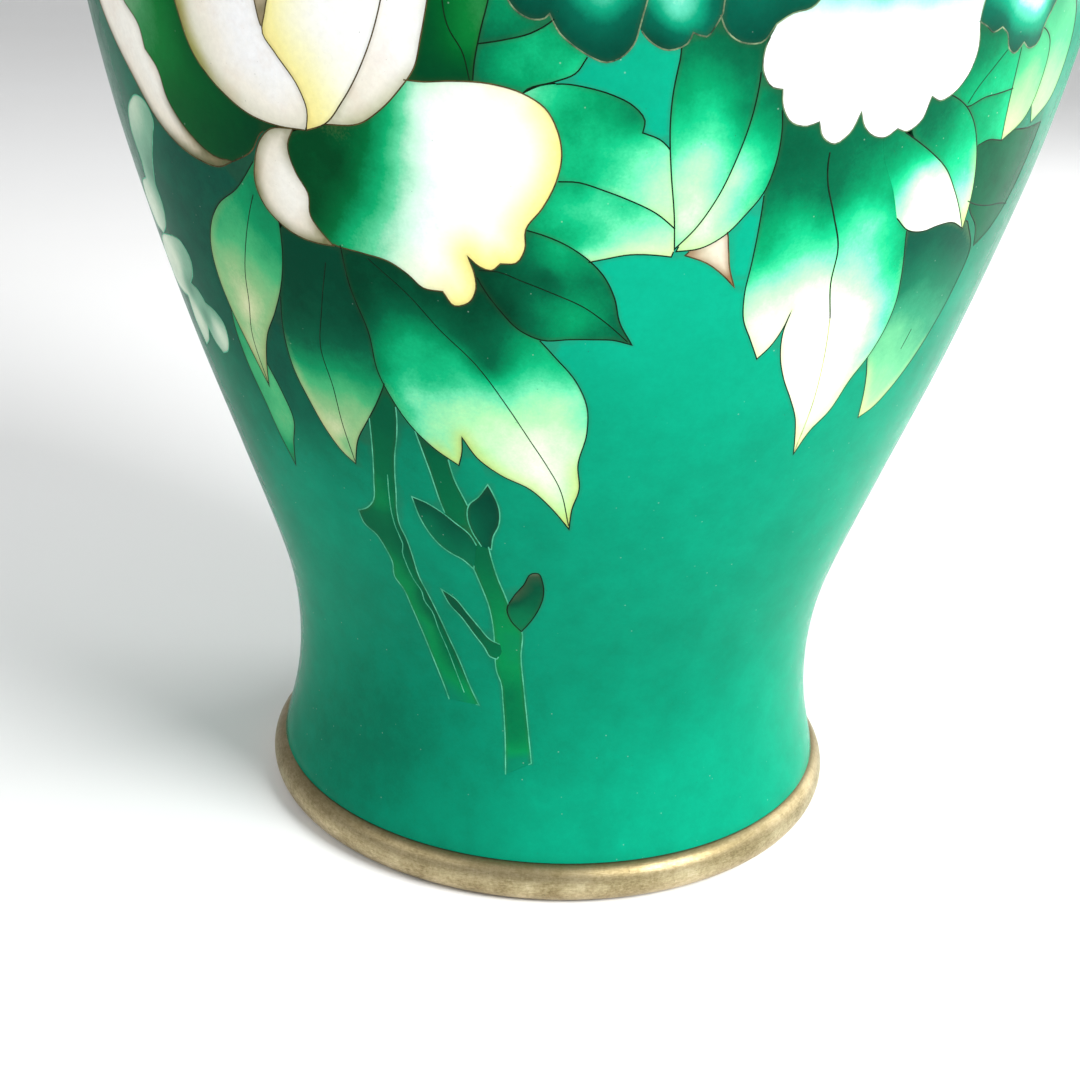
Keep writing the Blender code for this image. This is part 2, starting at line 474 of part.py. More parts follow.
def add_turned(name, profile, look, parent, steps=STEPS):
    """A round piece: the closed profile (radius, height) turned about the axis by a Screw modifier."""
    mesh = bpy.data.meshes.new(name)
    count = len(profile)
    if sum(a[0] * b[1] - a[1] * b[0] for a, b in zip(profile, profile[1:] + profile[:1])) > 0:
        profile = profile[::-1]  # clockwise, so that the outer side runs down
    mesh.from_pydata([(r, 0, z) for r, z in profile], [(i, (i + 1) % count) for i in range(count)], [])
    obj = add_object(name, mesh, look, parent)
    turn = obj.modifiers.new("Turned about the axis", "SCREW")
    turn.axis = "Z"
    turn.steps = turn.render_steps = steps
    turn.use_merge_vertices = True
    turn.merge_threshold = 1e-5
    turn.use_smooth_shade = True
    return obj


def add_disc(name, edge, z0, z1, look, parent):
    """A flat round plate with a small rounded edge."""
    built = bmesh.new()
    bmesh.ops.create_cone(built, cap_ends=True, segments=STEPS, radius1=edge, radius2=edge, depth=z1 - z0)
    mesh = bpy.data.meshes.new(name)
    built.to_mesh(mesh)
    built.free()
    obj = add_object(name, mesh, look, parent)
    obj.location = (0, 0, (z0 + z1) / 2)
    return obj


def build():
    for obj in list(bpy.data.objects):
        bpy.data.objects.remove(obj)
    vase = bpy.data.objects.new("vase", None)
    bpy.context.scene.collection.objects.link(vase)

    copper = material("copper", (0.48, 0.22, 0.12), 0.42, 1.0)
    silver = material("tarnished_silver", (0.56, 0.50, 0.40), 0.32, 1.0)
    lining = material("counter_enamel", (0.05, 0.30, 0.28), 0.30, coat=0.4)
    ground = material("ground_enamel", (0.0, 0.36, 0.25), 0.12, coat=0.8)

    rows = [h * MM for h in ROWS]
    top = rows[-1]

    def side(depth, heights):
        return [(radius(h) - depth, h) for h in heights]

    # spun copper wall: an open tube that follows the profile
    out = ENAMEL + LAYER_GAP
    add_turned("body_copper", side(out, rows) + side(out + COPPER, rows)[::-1], copper, vase)
    # plate that closes the bottom of the wall, and its enamel underneath, inside the foot ring
    plate_edge = radius(rows[0]) - out - COPPER - GAP
    add_disc("base_plate", plate_edge, FOOT_TOP + GAP, FOOT_TOP + GAP + COPPER, copper, vase)
    under_top = FOOT_TOP - 0.1 * MM
    add_disc("enamel_underside", FOOT_RADIUS - RING_WIDTH - GAP, under_top - LINING, under_top, lining, vase)

    # counter-enamel inside: a deep cup that stands on the plate
    deep = out + COPPER + LAYER_GAP
    floor = FOOT_TOP + 2 * GAP + COPPER
    inner_rows = [floor] + rows[1:]
    add_turned("enamel_interior",
               side(deep, inner_rows) + side(deep + LINING, inner_rows[1:])[::-1]
               + [(radius(floor) - deep - 3 * MM, floor + LINING), (0, floor + LINING), (0, floor)],
               lining, vase)

    # foot ring: flat underneath, one smooth bulge outside
    foot_in = FOOT_RADIUS - RING_WIDTH
    bulge, half_height = 2.7 * MM, 3.15 * MM
    edge = FOOT_RADIUS - bulge
    foot = [(foot_in, 0), (foot_in + 3.8 * MM, 0)]
    for k in range(7):
        angle = math.radians(-80 + 146 * k / 6)
        foot.append((edge + bulge * math.cos(angle), half_height * (1 + math.sin(angle))))
    foot += [(FOOT_RADIUS - 2.1 * MM, FOOT_TOP), (foot_in + 0.5 * MM, FOOT_TOP),
             (foot_in, FOOT_TOP - 0.5 * MM)]
    add_turned("foot_ring", foot, silver, vase, 48)

    # mouth ring: a rounded bead over the edge of the wall
    bead_r = radius(top) - 1.4 * MM
    bead_z = (top + GAP + HEIGHT) / 2
    half = (HEIGHT - top - GAP) / 2
    bead = []
    for k in range(10):
        angle = 2 * math.pi * k / 10 + math.pi / 2
        bead.append((bead_r + 2.9 * MM * math.cos(angle), bead_z + half * math.sin(angle)))
    add_turned("mouth_ring", bead, silver, vase)

    # outer enamel
    grid = [flat(SEAM + COLUMN * i, h) for i in range(1, STEPS) for h in rows[1:-1]]
    polygons = [(name, rounded(outline)) for name, outline in CELLS]
    holes = [grown(polygon, GAP / 2) for _, polygon in polygons]
    left, right = flat(SEAM, 0).x, flat(SEAM + 360, 0).x
    columns = [flat(SEAM + COLUMN * i, 0).x for i in range(STEPS + 1)]
    sheet = ([Vector((x, rows[0])) for x in columns] + [Vector((right, h)) for h in rows[1:-1]]
             + [Vector((x, top)) for x in reversed(columns)]
             + [Vector((left, h)) for h in reversed(rows[1:-1])])
    verts, tris = triangulated(sheet, holes, grid)
    add_inlay("enamel_ground", verts, largest_body(tris), ground, vase)
    for k, (name, polygon) in enumerate(polygons):
        own = grown(polygon, -GAP / 2)
        low_x, high_x = min(p.x for p in own), max(p.x for p in own)
        low_y, high_y = min(p.y for p in own), max(p.y for p in own)
        above = [h for h in holes[:k] if max(p.x for p in h) > low_x and min(p.x for p in h) < high_x
                 and max(p.y for p in h) > low_y and min(p.y for p in h) < high_y]
        verts, tris = triangulated(own, above, [p for p in grid if inside(p, own)])
        colour = next(c for word, c in COLOURS.items() if word in name)
        add_inlay(name, verts, largest_body(tris), material(name, colour, 0.12, coat=0.8), vase)


build()
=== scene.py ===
"""Looks of the cloisonne vase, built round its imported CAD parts: smooth inlays of shaded enamel, the
wires between them, the silver rings and the linings.  Everything is in metres in the CAD frame: +Z up,
origin on the axis at floor level, the decorated front faces -Y.

Positions on the wall are pairs (turn, height): degrees round the axis from the front, positive towards +X,
and millimetres above the floor.
"""

import math

import bpy
import numpy as np
from mathutils import Matrix, Vector
from mathutils.geometry import delaunay_2d_cdt


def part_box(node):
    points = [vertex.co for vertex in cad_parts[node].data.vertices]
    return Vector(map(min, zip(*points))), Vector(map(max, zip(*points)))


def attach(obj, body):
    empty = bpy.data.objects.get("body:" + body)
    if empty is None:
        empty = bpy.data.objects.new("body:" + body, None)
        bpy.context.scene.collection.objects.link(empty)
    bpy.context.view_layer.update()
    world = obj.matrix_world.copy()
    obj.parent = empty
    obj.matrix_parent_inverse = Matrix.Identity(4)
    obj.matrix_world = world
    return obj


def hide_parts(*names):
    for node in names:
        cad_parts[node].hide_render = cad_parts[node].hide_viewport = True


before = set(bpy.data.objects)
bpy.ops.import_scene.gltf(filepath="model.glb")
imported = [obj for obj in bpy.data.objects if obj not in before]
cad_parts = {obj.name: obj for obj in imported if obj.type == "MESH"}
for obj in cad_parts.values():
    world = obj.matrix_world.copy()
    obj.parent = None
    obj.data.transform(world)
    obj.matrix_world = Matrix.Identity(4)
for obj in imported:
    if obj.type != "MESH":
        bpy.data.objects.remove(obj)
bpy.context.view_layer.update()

MM = 0.001
WIRE = 0.18 * MM  # width of a cloison wire at the polished surface
PROUD = 0.03 * MM  # how far the wires stand above the enamel
SLIT = 0.01 * MM  # from the middle of a wire to the enamel on either side, hidden under the wire
RIB = 0.85 * WIRE  # width of the ribs inside leaves
BROAD_RIB = 1.3 * WIRE  # the rib of the large leaf on the right
ENAMEL = 1.0 * MM  # thickness of the enamel on the outside
FLAT_RADIUS = 60 * MM  # radius used to unroll the wall to a flat sheet
FLAT_PER_REAL = 1.6  # flat length round the wall for a real length, at most: the neck is the narrowest
SEAM = -108  # degrees: the unrolled ground starts and ends here
RUN_STEP = 0.7 * MM  # spacing of points along an outline
RIB_STEP = 0.8 * MM  # and along a rib
GRID_STEP = 0.85 * MM  # spacing of the points inside an inlay
PLAIN_RIM = "F4EEC8"  # rim colour of the cells that RIMS doesn't list

# Height and outer radius of the wall, mm: waist above the foot, full shoulder, short neck, everted mouth
PROFILE = [(7, 47.9), (16, 45.8), (25, 45.0), (35, 45.6), (44, 47.6), (63, 54.2), (82, 61.0), (100, 66.7),
           (118, 71.6), (137, 75.3), (155, 77.4), (168, 77.8), (182, 76.2), (196, 71.4), (207, 65.0),
           (216, 57.0), (224, 48.4), (230, 42.4), (236, 38.4), (241, 37.2), (245, 37.8), (250, 40.4)]

# Outlines of the cells from the topmost to the lowest, so a cell hides what it shares with a later one.
# A third value of 1 marks a corner; every other point is rounded through.
CELLS = [
    # left peony, opening upwards from a calyx at its foot
    ("petal_yellow_centre", [
        (-27, 120, 1), (-26.6, 122.5), (-27.2, 125), (-29.5, 129), (-30.6, 131), (-30, 133.5), (-29, 137),
        (-29.5, 147), (-28.5, 156), (-26, 160.5), (-23.5, 158.5, 1), (-20.5, 161), (-17.5, 156),
        (-16.5, 147), (-17.5, 137), (-19.5, 130), (-22.5, 124), (-24.8, 121)]),
    ("petal_white_left", [
        (-27.2, 120, 1), (-26, 123), (-27.5, 128), (-30.5, 131.3), (-31.1, 135), (-31.6, 143), (-34, 152),
        (-38.5, 158, 1), (-43.5, 152), (-44.5, 143), (-42.5, 135), (-40.5, 127), (-37, 123), (-34, 121),
        (-30.5, 120.1)]),
    ("petal_white_right", [
        (-24.8, 121, 1), (-21, 121.5), (-18.5, 123.5), (-16.5, 126), (-15, 128.5), (-14.2, 132),
        (-13.3, 137), (-12, 145), (-12.2, 152), (-14, 158, 1), (-18, 155), (-20, 145), (-21, 132),
        (-23, 125)]),
    ("petal_blush_back", [
        (-30.4, 129.5, 1), (-32.5, 138), (-35, 150), (-35, 158), (-31.5, 163.5, 1), (-28, 160), (-26, 150),
        (-27, 140), (-28.5, 134)]),
    ("petal_cream_curl", [
        (-28.6, 120, 1), (-29.6, 118), (-29.2, 114.5), (-28.1, 112), (-28.3, 109), (-27.2, 107),
        (-26, 105.5, 1), (-28, 105.5), (-30.5, 106), (-33, 107.5), (-34.6, 109.5), (-35.2, 112.5),
        (-34.6, 115), (-33.2, 118), (-31.5, 119.6)]),
    ("petal_large_lobed", [
        (-30, 119, 1), (-26, 121), (-22, 124), (-18, 127), (-14, 127.1), (-11.5, 127.4), (-7.5, 127.3),
        (-5, 126.5), (-3, 125), (-1.8, 122.5), (-1.3, 119.5), (-1.7, 116.5), (-3, 113), (-4.6, 110.2),
        (-4.7, 107.6), (-5.6, 105.8), (-7.2, 105.6, 1), (-8.2, 104.6), (-9.4, 105), (-10.6, 106.2, 1),
        (-10, 104), (-9.9, 102), (-10.8, 100), (-12.4, 99.4), (-13.6, 101.2, 1), (-15.8, 101.4),
        (-17.4, 103), (-19.4, 104.4), (-22.5, 105.1), (-26, 105.7), (-29.5, 108), (-30, 113)]),
    ("petal_cream_crescent", [
        (-38, 114.5, 1), (-41, 114.7), (-44, 116.5), (-47.5, 121), (-48.3, 125), (-50, 127, 1),
        (-50.3, 130), (-52.5, 132.5, 1), (-54.5, 139), (-57.5, 147), (-62, 154, 1), (-64, 146),
        (-62.5, 137), (-60.5, 131), (-58.5, 127.5), (-55.5, 123.5), (-51, 117.5), (-47.5, 115),
        (-44, 113.7), (-40.5, 113.4)]),
    ("petal_green_left", [
        (-38.5, 114.2, 1), (-34.6, 116.5), (-33, 118.8), (-30, 120.6), (-31.5, 124), (-37, 128), (-41, 136),
        (-42.5, 145), (-43, 153), (-46, 160, 1), (-52, 157), (-57.5, 150), (-56.5, 140), (-53.5, 133),
        (-51, 126), (-48.5, 119.5), (-43, 115)]),
    # middle flower: ruffled dark petals
    ("petal_teal_left", [
        (-2.8, 135.4, 1), (-2.4, 134.4), (-1.9, 133.4), (-1.1, 132.5), (-0.2, 131.7), (0.8, 131),
        (2.3, 130.4), (3.4, 130.9), (4.5, 132.4), (5, 134.8, 1), (6, 142), (5.5, 150), (2, 156, 1),
        (-3, 151), (-6.2, 144), (-7, 139.5), (-6.4, 136.7), (-5.4, 135.3), (-4.1, 134.7), (-3.2, 134.9)]),
    ("petal_teal_middle", [
        (4.8, 134.5, 1), (5.8, 133), (7.6, 132), (9.2, 132.8), (9.6, 134, 1), (10.8, 133.6), (11.5, 134.8),
        (12, 136.2, 1), (12, 143), (10.5, 151), (7.5, 156.5, 1), (4, 151), (4, 142)]),
    ("petal_teal_right", [
        (11.8, 136, 1), (12.6, 134.2), (14, 133.1), (15.8, 133.1), (17, 135.2, 1), (18.4, 136.4), (20, 137),
        (21.4, 139.5, 1), (20.5, 147), (15.5, 156, 1), (9.5, 152), (10.5, 143)]),
    ("petal_teal_crown", [
        (-4.5, 149, 1), (-6.5, 156), (-5, 161.5, 1), (-1.5, 165.5), (2.5, 165, 1), (6.5, 169.5),
        (11, 166.5, 1), (15.5, 165), (18.5, 160, 1), (19.2, 154), (18, 149), (12, 146), (7, 146),
        (2, 146)]),
    # right peony: a wide scalloped petal below its crown
    ("petal_white_scalloped", [
        (17, 135, 1), (16.3, 132.5), (16.6, 129.5), (17.6, 128.1), (18.6, 127.9, 1), (19, 125.8),
        (20.2, 124), (21.8, 123.6), (23, 124.1, 1), (23.8, 122.2), (25.2, 121.4), (26.6, 122.6),
        (27.4, 125.2, 1), (28.2, 123.4), (29.6, 122.2), (31, 122), (32.3, 123, 1), (33.6, 122.6),
        (35, 123.6), (35.7, 126.8, 1), (37, 126.2), (38.6, 127), (40, 129), (40.5, 132), (39.6, 136),
        (39.5, 142), (35.5, 148), (28, 150.5), (21, 147.5), (19, 141)]),
    ("petal_white_crown", [
        (21, 145, 1), (28, 148), (37, 144), (42, 150), (42.5, 157, 1), (39.5, 163), (35, 164.5, 1),
        (30, 168.5), (25, 165.5, 1), (21, 163), (20.2, 154)]),
    ("petal_teal_far", [
        (38.5, 136, 1), (41, 134.9), (42.2, 134.2), (43.4, 134.8, 1), (44.6, 134), (45.6, 132.2),
        (47, 131.5), (48.2, 132.8, 1), (49.6, 132), (51, 132.4), (51.6, 135), (53.5, 140), (53, 148),
        (48.5, 154, 1), (41, 150), (38.5, 143)]),
    # leaves between the flowers
    ("leaf_crown_left", [
        (-9.6, 126.5, 1), (-9.3, 130), (-8.8, 133), (-8, 137), (-7.5, 144), (-9.5, 153, 1), (-13.5, 150),
        (-16, 138), (-17, 130), (-15, 126)]),
    ("leaf_crown_middle", [
        (-9.6, 131.6, 1), (-6.5, 132.4), (-4.4, 133.2), (-2, 135.4), (-2, 142), (-3.5, 150), (-7, 153, 1),
        (-9, 146), (-9.5, 138)]),
    ("leaf_crown_low", [
        (-9.9, 126.4, 1), (-10.2, 130), (-9, 133), (-5, 135), (-2, 135), (-0.4, 133), (0.6, 130.9, 1),
        (-0.4, 129), (-2.2, 128), (-4.6, 127), (-6, 125), (-8, 125)]),
    ("leaf_upright_left", [
        (10.4, 108.4, 1), (10, 112), (9, 118.5), (8.5, 123), (8.4, 127), (8.7, 131), (9.2, 136),
        (12, 137.5), (15.5, 135), (16.2, 130.5), (16.1, 125), (15.3, 120), (13.8, 114.5), (12.2, 111)]),
    ("leaf_upright_right", [
        (10.6, 108.1, 1), (13, 108.5), (15.4, 110.2), (17.2, 112.8), (18.6, 115.4), (19.3, 119),
        (19.3, 123), (18.4, 128), (17, 135, 1), (14, 131), (14, 122), (12.4, 114)]),
    ("leaf_cream_tip", [
        (11.6, 107.6, 1), (13.5, 110), (15.3, 111), (16.1, 108.4), (16.6, 106), (17.6, 103.3, 1), (16, 105),
        (14, 106.6)]),
    ("leaf_split_upper", [
        (-5.2, 126.3, 1), (-3.5, 127.4), (-1.5, 127.8), (0.8, 127.5), (3, 126.8), (5, 125.6), (6.1, 124),
        (6, 122.6, 1), (7.6, 121.9), (9.4, 119.8, 1), (10.6, 116), (10.6, 110.6, 1), (8, 113), (5.5, 114.4),
        (3, 115.5), (0.5, 116.4), (-2.8, 116.6), (-5, 119), (-5, 123)]),
    ("leaf_dark_pointed", [
        (-5, 110.3, 1), (-3, 109.7), (-0.8, 108.7), (1.5, 107), (3.4, 104.8), (4.8, 101.8), (5.6, 98.5),
        (7.2, 95.4, 1), (5, 96), (3, 96), (0.5, 95.9), (-2.8, 95.6), (-5, 96.6), (-7.5, 99.5), (-9.5, 103),
        (-10.8, 107, 1), (-8, 109.5)]),
    ("leaf_split_lower", [
        (-3.8, 118, 1), (1, 118), (6, 116), (11, 112), (10.2, 107.4, 1), (8.6, 107.6), (6, 107.6),
        (3, 106.8), (0, 106), (-5, 108), (-4.6, 113)]),
    ("leaf_broad", [
        (-25.2, 107, 1), (-24.8, 100), (-23.4, 94), (-23, 88), (-21.8, 84.6), (-19.6, 80.6), (-17, 77.8),
        (-13.6, 75.4, 1), (-13, 77.6), (-12.8, 80, 1), (-11, 77), (-8, 74.6), (-4, 72.6), (-1, 69.6),
        (1.6, 66.2, 1), (1.8, 69.5), (2.6, 73), (2.2, 77), (3, 82), (2.8, 86), (1.2, 90), (-1.5, 93.6),
        (-4, 97), (-6, 102), (-9, 108), (-16, 108)]),
    ("leaf_left", [
        (-34.4, 115.5, 1), (-38.6, 110.8), (-42.4, 108.2), (-45.2, 105), (-47, 101), (-47.4, 97),
        (-46.8, 92.5), (-45.2, 87), (-43.5, 81.4, 1), (-42, 86), (-40.2, 90), (-37.4, 94), (-35.2, 98),
        (-33.8, 102), (-33, 107), (-33, 112)]),
    ("leaf_narrow", [
        (-30, 72.4, 1), (-28.6, 76.4), (-26, 80.4), (-24, 83.6), (-22, 88), (-21.5, 95), (-22, 104),
        (-26, 108), (-31, 108.5), (-33.9, 105), (-35.3, 98), (-36.8, 91), (-36.8, 86), (-35.4, 81),
        (-33.6, 76.5), (-31.6, 73.6)]),
    ("leaf_left_low", [
        (-46.5, 94, 1), (-47.4, 89), (-47.2, 84), (-46, 78), (-45.2, 73), (-43.9, 68.4, 1), (-42.2, 72.6),
        (-40.2, 77.2), (-40.8, 81), (-42.5, 86), (-44.5, 92)]),
    ("leaf_far_left", [
        (-58.8, 100.2, 1), (-55.8, 99.9), (-54.4, 97.9), (-55.4, 95.4), (-57.8, 93.4, 1), (-55.6, 92.8),
        (-54.4, 91.2, 1), (-52.2, 90.7), (-50.5, 89.2), (-50.7, 86.8), (-52.3, 84.5), (-54.4, 83.6, 1),
        (-56.2, 85), (-56.9, 86.9, 1), (-58.8, 84.6), (-61.9, 82.8, 1), (-63, 86.2), (-62, 90.4, 1),
        (-65, 90.3), (-69, 91.4), (-69.5, 95), (-66, 98.4)]),
    ("leaf_far_left_high", [
        (-55.5, 120.3), (-58.2, 119.3), (-60.8, 117.2), (-62.2, 114), (-61.8, 110.5), (-62.6, 107.7, 1),
        (-66.4, 106.4), (-68.6, 103.4), (-67.4, 100.4), (-63.6, 99.4, 1), (-60, 101.6), (-58.4, 104.6),
        (-58.6, 107.6, 1), (-56.6, 111.2), (-54, 115), (-52.5, 117.6), (-53.3, 119.6)]),
    ("leaf_white_tip", [
        (30, 125, 1), (33, 122.8), (35.5, 121.3), (38.2, 119.6), (41.2, 117.4), (44, 114.4), (46.6, 111.4),
        (49, 108.4, 1), (46, 109.6), (43.5, 109.5), (41, 109), (38.5, 109.4), (36, 111.3, 1), (34.2, 115),
        (31.8, 119)]),
    ("leaf_right_large", [
        (17, 133, 1), (18, 126), (18.5, 119), (18.9, 112), (19, 106.5), (19, 102), (19.6, 98.6), (20.9, 96),
        (22.5, 92.9, 1), (23.8, 94.6), (24.8, 97), (25.3, 99.6, 1), (25, 96.8), (25.6, 93), (27, 89.6),
        (29, 86.3), (31, 82.8), (32, 80), (33, 76.8, 1), (34.4, 80.5), (36.4, 83), (38.2, 88), (40, 91.4),
        (41, 95), (41.1, 99), (40.2, 103), (38.8, 107.5), (37, 113), (34, 119), (33, 126), (28, 128),
        (22, 129)]),
    ("leaf_narrow_right", [
        (35, 127.5, 1), (39, 126.6), (41.4, 125.2), (43.4, 123.2), (45.2, 120.4), (46.8, 117), (48.2, 113),
        (49.2, 108.2, 1), (46, 110.5), (42, 114), (37, 119), (34, 124)]),
    ("leaf_right_low", [
        (37, 111, 1), (38.5, 103), (39, 96), (39.8, 91), (41, 88.3), (42.2, 85), (43.4, 80.8, 1), (46, 82),
        (48.2, 84.2), (50.5, 87.6), (52.6, 92.5), (54, 99), (54, 104), (49.8, 109.2, 1), (44, 111)]),
    ("leaf_pale_right", [
        (47.8, 134, 1), (51.5, 134.5), (54, 133), (55.5, 127.5), (54.6, 123), (50.4, 120.1, 1), (49.6, 123),
        (48.8, 127), (48.2, 131)]),
    ("leaf_veined_upper", [
        (40, 139, 1), (44, 138), (48, 136), (49, 131), (49, 127, 1), (46, 126.5), (44, 126.2),
        (42, 125.3, 1), (39, 125), (37.5, 130)]),
    ("leaf_veined_lower", [
        (40.5, 127, 1), (45, 128.5), (50, 128, 1), (50.8, 124.2), (50.2, 120.2, 1), (47.5, 120.5),
        (44.5, 119.8), (42.5, 121)]),
    ("leaf_dark_right", [
        (44.5, 120.6, 1), (50, 121.4), (57, 121.2), (61, 121.5, 1), (61, 116), (60, 111), (57.5, 107),
        (54.5, 105, 1), (52.5, 108), (49, 111), (47, 114)]),
    ("leaf_far_right", [
        (51, 140, 1), (58, 138), (62, 131), (61.5, 125), (57, 121.8, 1), (54, 126), (51, 132)]),
    # buds and stems under the leaves
    ("bud_left", [
        (-21.5, 68.8, 1), (-19.3, 68.2), (-17.9, 67.5), (-15.2, 65.5), (-13, 63.6), (-12.2, 62, 1),
        (-13, 57.6, 1), (-14.7, 59.1), (-16.5, 59.9), (-18.2, 61.1), (-19.7, 63), (-20.8, 65.4)]),
    ("bud_upright", [
        (-9.8, 72.8, 1), (-11.3, 70.5), (-12.8, 68.9), (-13.2, 67), (-12.7, 64.4), (-11.4, 61.9, 1),
        (-9.9, 61.6, 1), (-9.5, 63.9), (-8.6, 65.9), (-8.4, 68.8), (-9.1, 71.2)]),
    ("bud_side", [
        (-5.5, 46.8, 1), (-7.2, 48.6), (-7.9, 50.7), (-6.8, 53.2), (-5, 55.7), (-3.7, 57.9), (-2.7, 58),
        (-2, 56.4), (-1.8, 54.1), (-2.6, 51.2), (-4, 48.7)]),
    ("twig_dark", [
        (-19.2, 52.8, 1), (-16.9, 51.5), (-15, 49.1), (-12.9, 46.5), (-11.2, 44.6), (-9.4, 43.9, 1),
        (-9.2, 42.4), (-10.1, 41, 1), (-11.4, 41.3), (-12.3, 42.8), (-14.2, 45.3), (-16, 47.9),
        (-18.2, 50.4)]),
    ("stem_right", [
        (-13.2, 58.2, 1), (-12, 54.5), (-11, 51), (-10.5, 47), (-10.4, 43), (-10.2, 38.6), (-9.4, 36.6),
        (-9, 33), (-8.5, 28), (-8, 20.5, 1), (-3, 22.8, 1), (-4, 29), (-5, 36), (-5.6, 42), (-5.4, 46.8),
        (-7.2, 50.6), (-8.2, 53.6), (-9.2, 56.5), (-10, 60), (-10.6, 64, 1), (-12.6, 63.5, 1)]),
    ("stem_upper", [
        (-19.6, 82, 1), (-18, 74), (-16.6, 67), (-15, 63, 1), (-11.8, 63.6, 1), (-12.8, 68.2), (-14.5, 73),
        (-15.4, 80, 1)]),
    ("stem_left", [
        (-25, 88, 1), (-25.6, 82), (-26.5, 75), (-27.4, 70.5), (-28.6, 66.4), (-30, 65), (-32, 64, 1),
        (-31.6, 62), (-29.5, 60.3), (-28.5, 58.4), (-27.7, 55.8), (-28, 53.2), (-26.7, 51.2), (-25.8, 48.1),
        (-24.6, 44), (-23.3, 40), (-20, 32, 1), (-13.8, 32, 1), (-15.5, 35), (-17.6, 40), (-19.1, 43.6),
        (-20.3, 47), (-21.9, 51.4), (-22.9, 54), (-23.5, 58.5), (-23.9, 61), (-24.6, 63.3), (-24.6, 65.4),
        (-24, 69), (-23.5, 72.5), (-22.9, 75.5), (-22.1, 78.4), (-21.5, 82), (-21.6, 88, 1)]),
    # ground enclosed by the leaves and the middle flower
    ("enamel_ground_patch", [
        (-2.2, 127.9, 1), (0.5, 133), (3, 134.5), (6.5, 135), (9.8, 135, 1), (10.4, 128), (10.2, 121),
        (8.6, 118.4, 1), (5.4, 120.6), (4, 124.5), (1, 126.8)]),
]


def leaf(base, tip, width, bow):
    """The outline of a pointed leaf between two places, this wide (mm) and bowed sideways (mm)."""
    scale = math.pi / 180 * 65  # millimetres round the wall for each degree, near the belly
    along = Vector(((tip[0] - base[0]) * scale, tip[1] - base[1]))
    across = Vector((-along.y, along.x)).normalized()
    outline = [(*base, 1)]
    shares = (0.12, 0.32, 0.55, 0.75, 0.9)
    for side, stops in ((-1, shares), (1, shares[::-1])):
        for share in stops:
            half = width / 2 * math.sin(math.pi * share**0.8)
            offset = across * (side * half + bow * 4 * share * (1 - share))
            turn = base[0] + (along.x * share + offset.x) / scale
            outline.append((turn, base[1] + along.y * share + offset.y))
        if side < 0:
            outline.append((*tip, 1))
    return outline


def ruffled(turn, height, half_turn, half_height, lobes):
    """The outline of a ruffled flower: an oval of equal lobes that meet in notches."""
    outline = []
    for i in range(lobes):
        for share, reach in ((0, 0.88), (0.22, 0.99), (0.5, 1.04), (0.78, 0.99)):
            angle = 2 * math.pi * (i + share) / lobes + math.pi / 2
            point = (turn + reach * half_turn * math.cos(angle),
                     height + reach * half_height * math.sin(angle))
            outline.append((*point, 1) if share == 0 else point)
    return outline


# The back carries one more flower on its own stem, with three leaves
CELLS += [
    ("flower_back_heart", ruffled(178, 150, 8, 10, 5)),
    ("flower_back_petals", ruffled(178, 148, 20, 24, 8)),
    ("leaf_back_left", leaf((181, 118), (217, 84), 21, -3)),
    ("leaf_back_right", leaf((177, 122), (141, 92), 20, 3)),
    ("leaf_back_low", leaf((178, 92), (160, 56), 15, 2)),
    ("stem_back", [
        (176.3, 128, 1), (176.6, 108), (177.8, 88), (179.4, 68), (183, 48), (188, 30, 1), (191.6, 31, 1),
        (186.6, 48), (182.8, 67), (180.8, 88), (179.4, 108), (179, 128, 1)]),
]


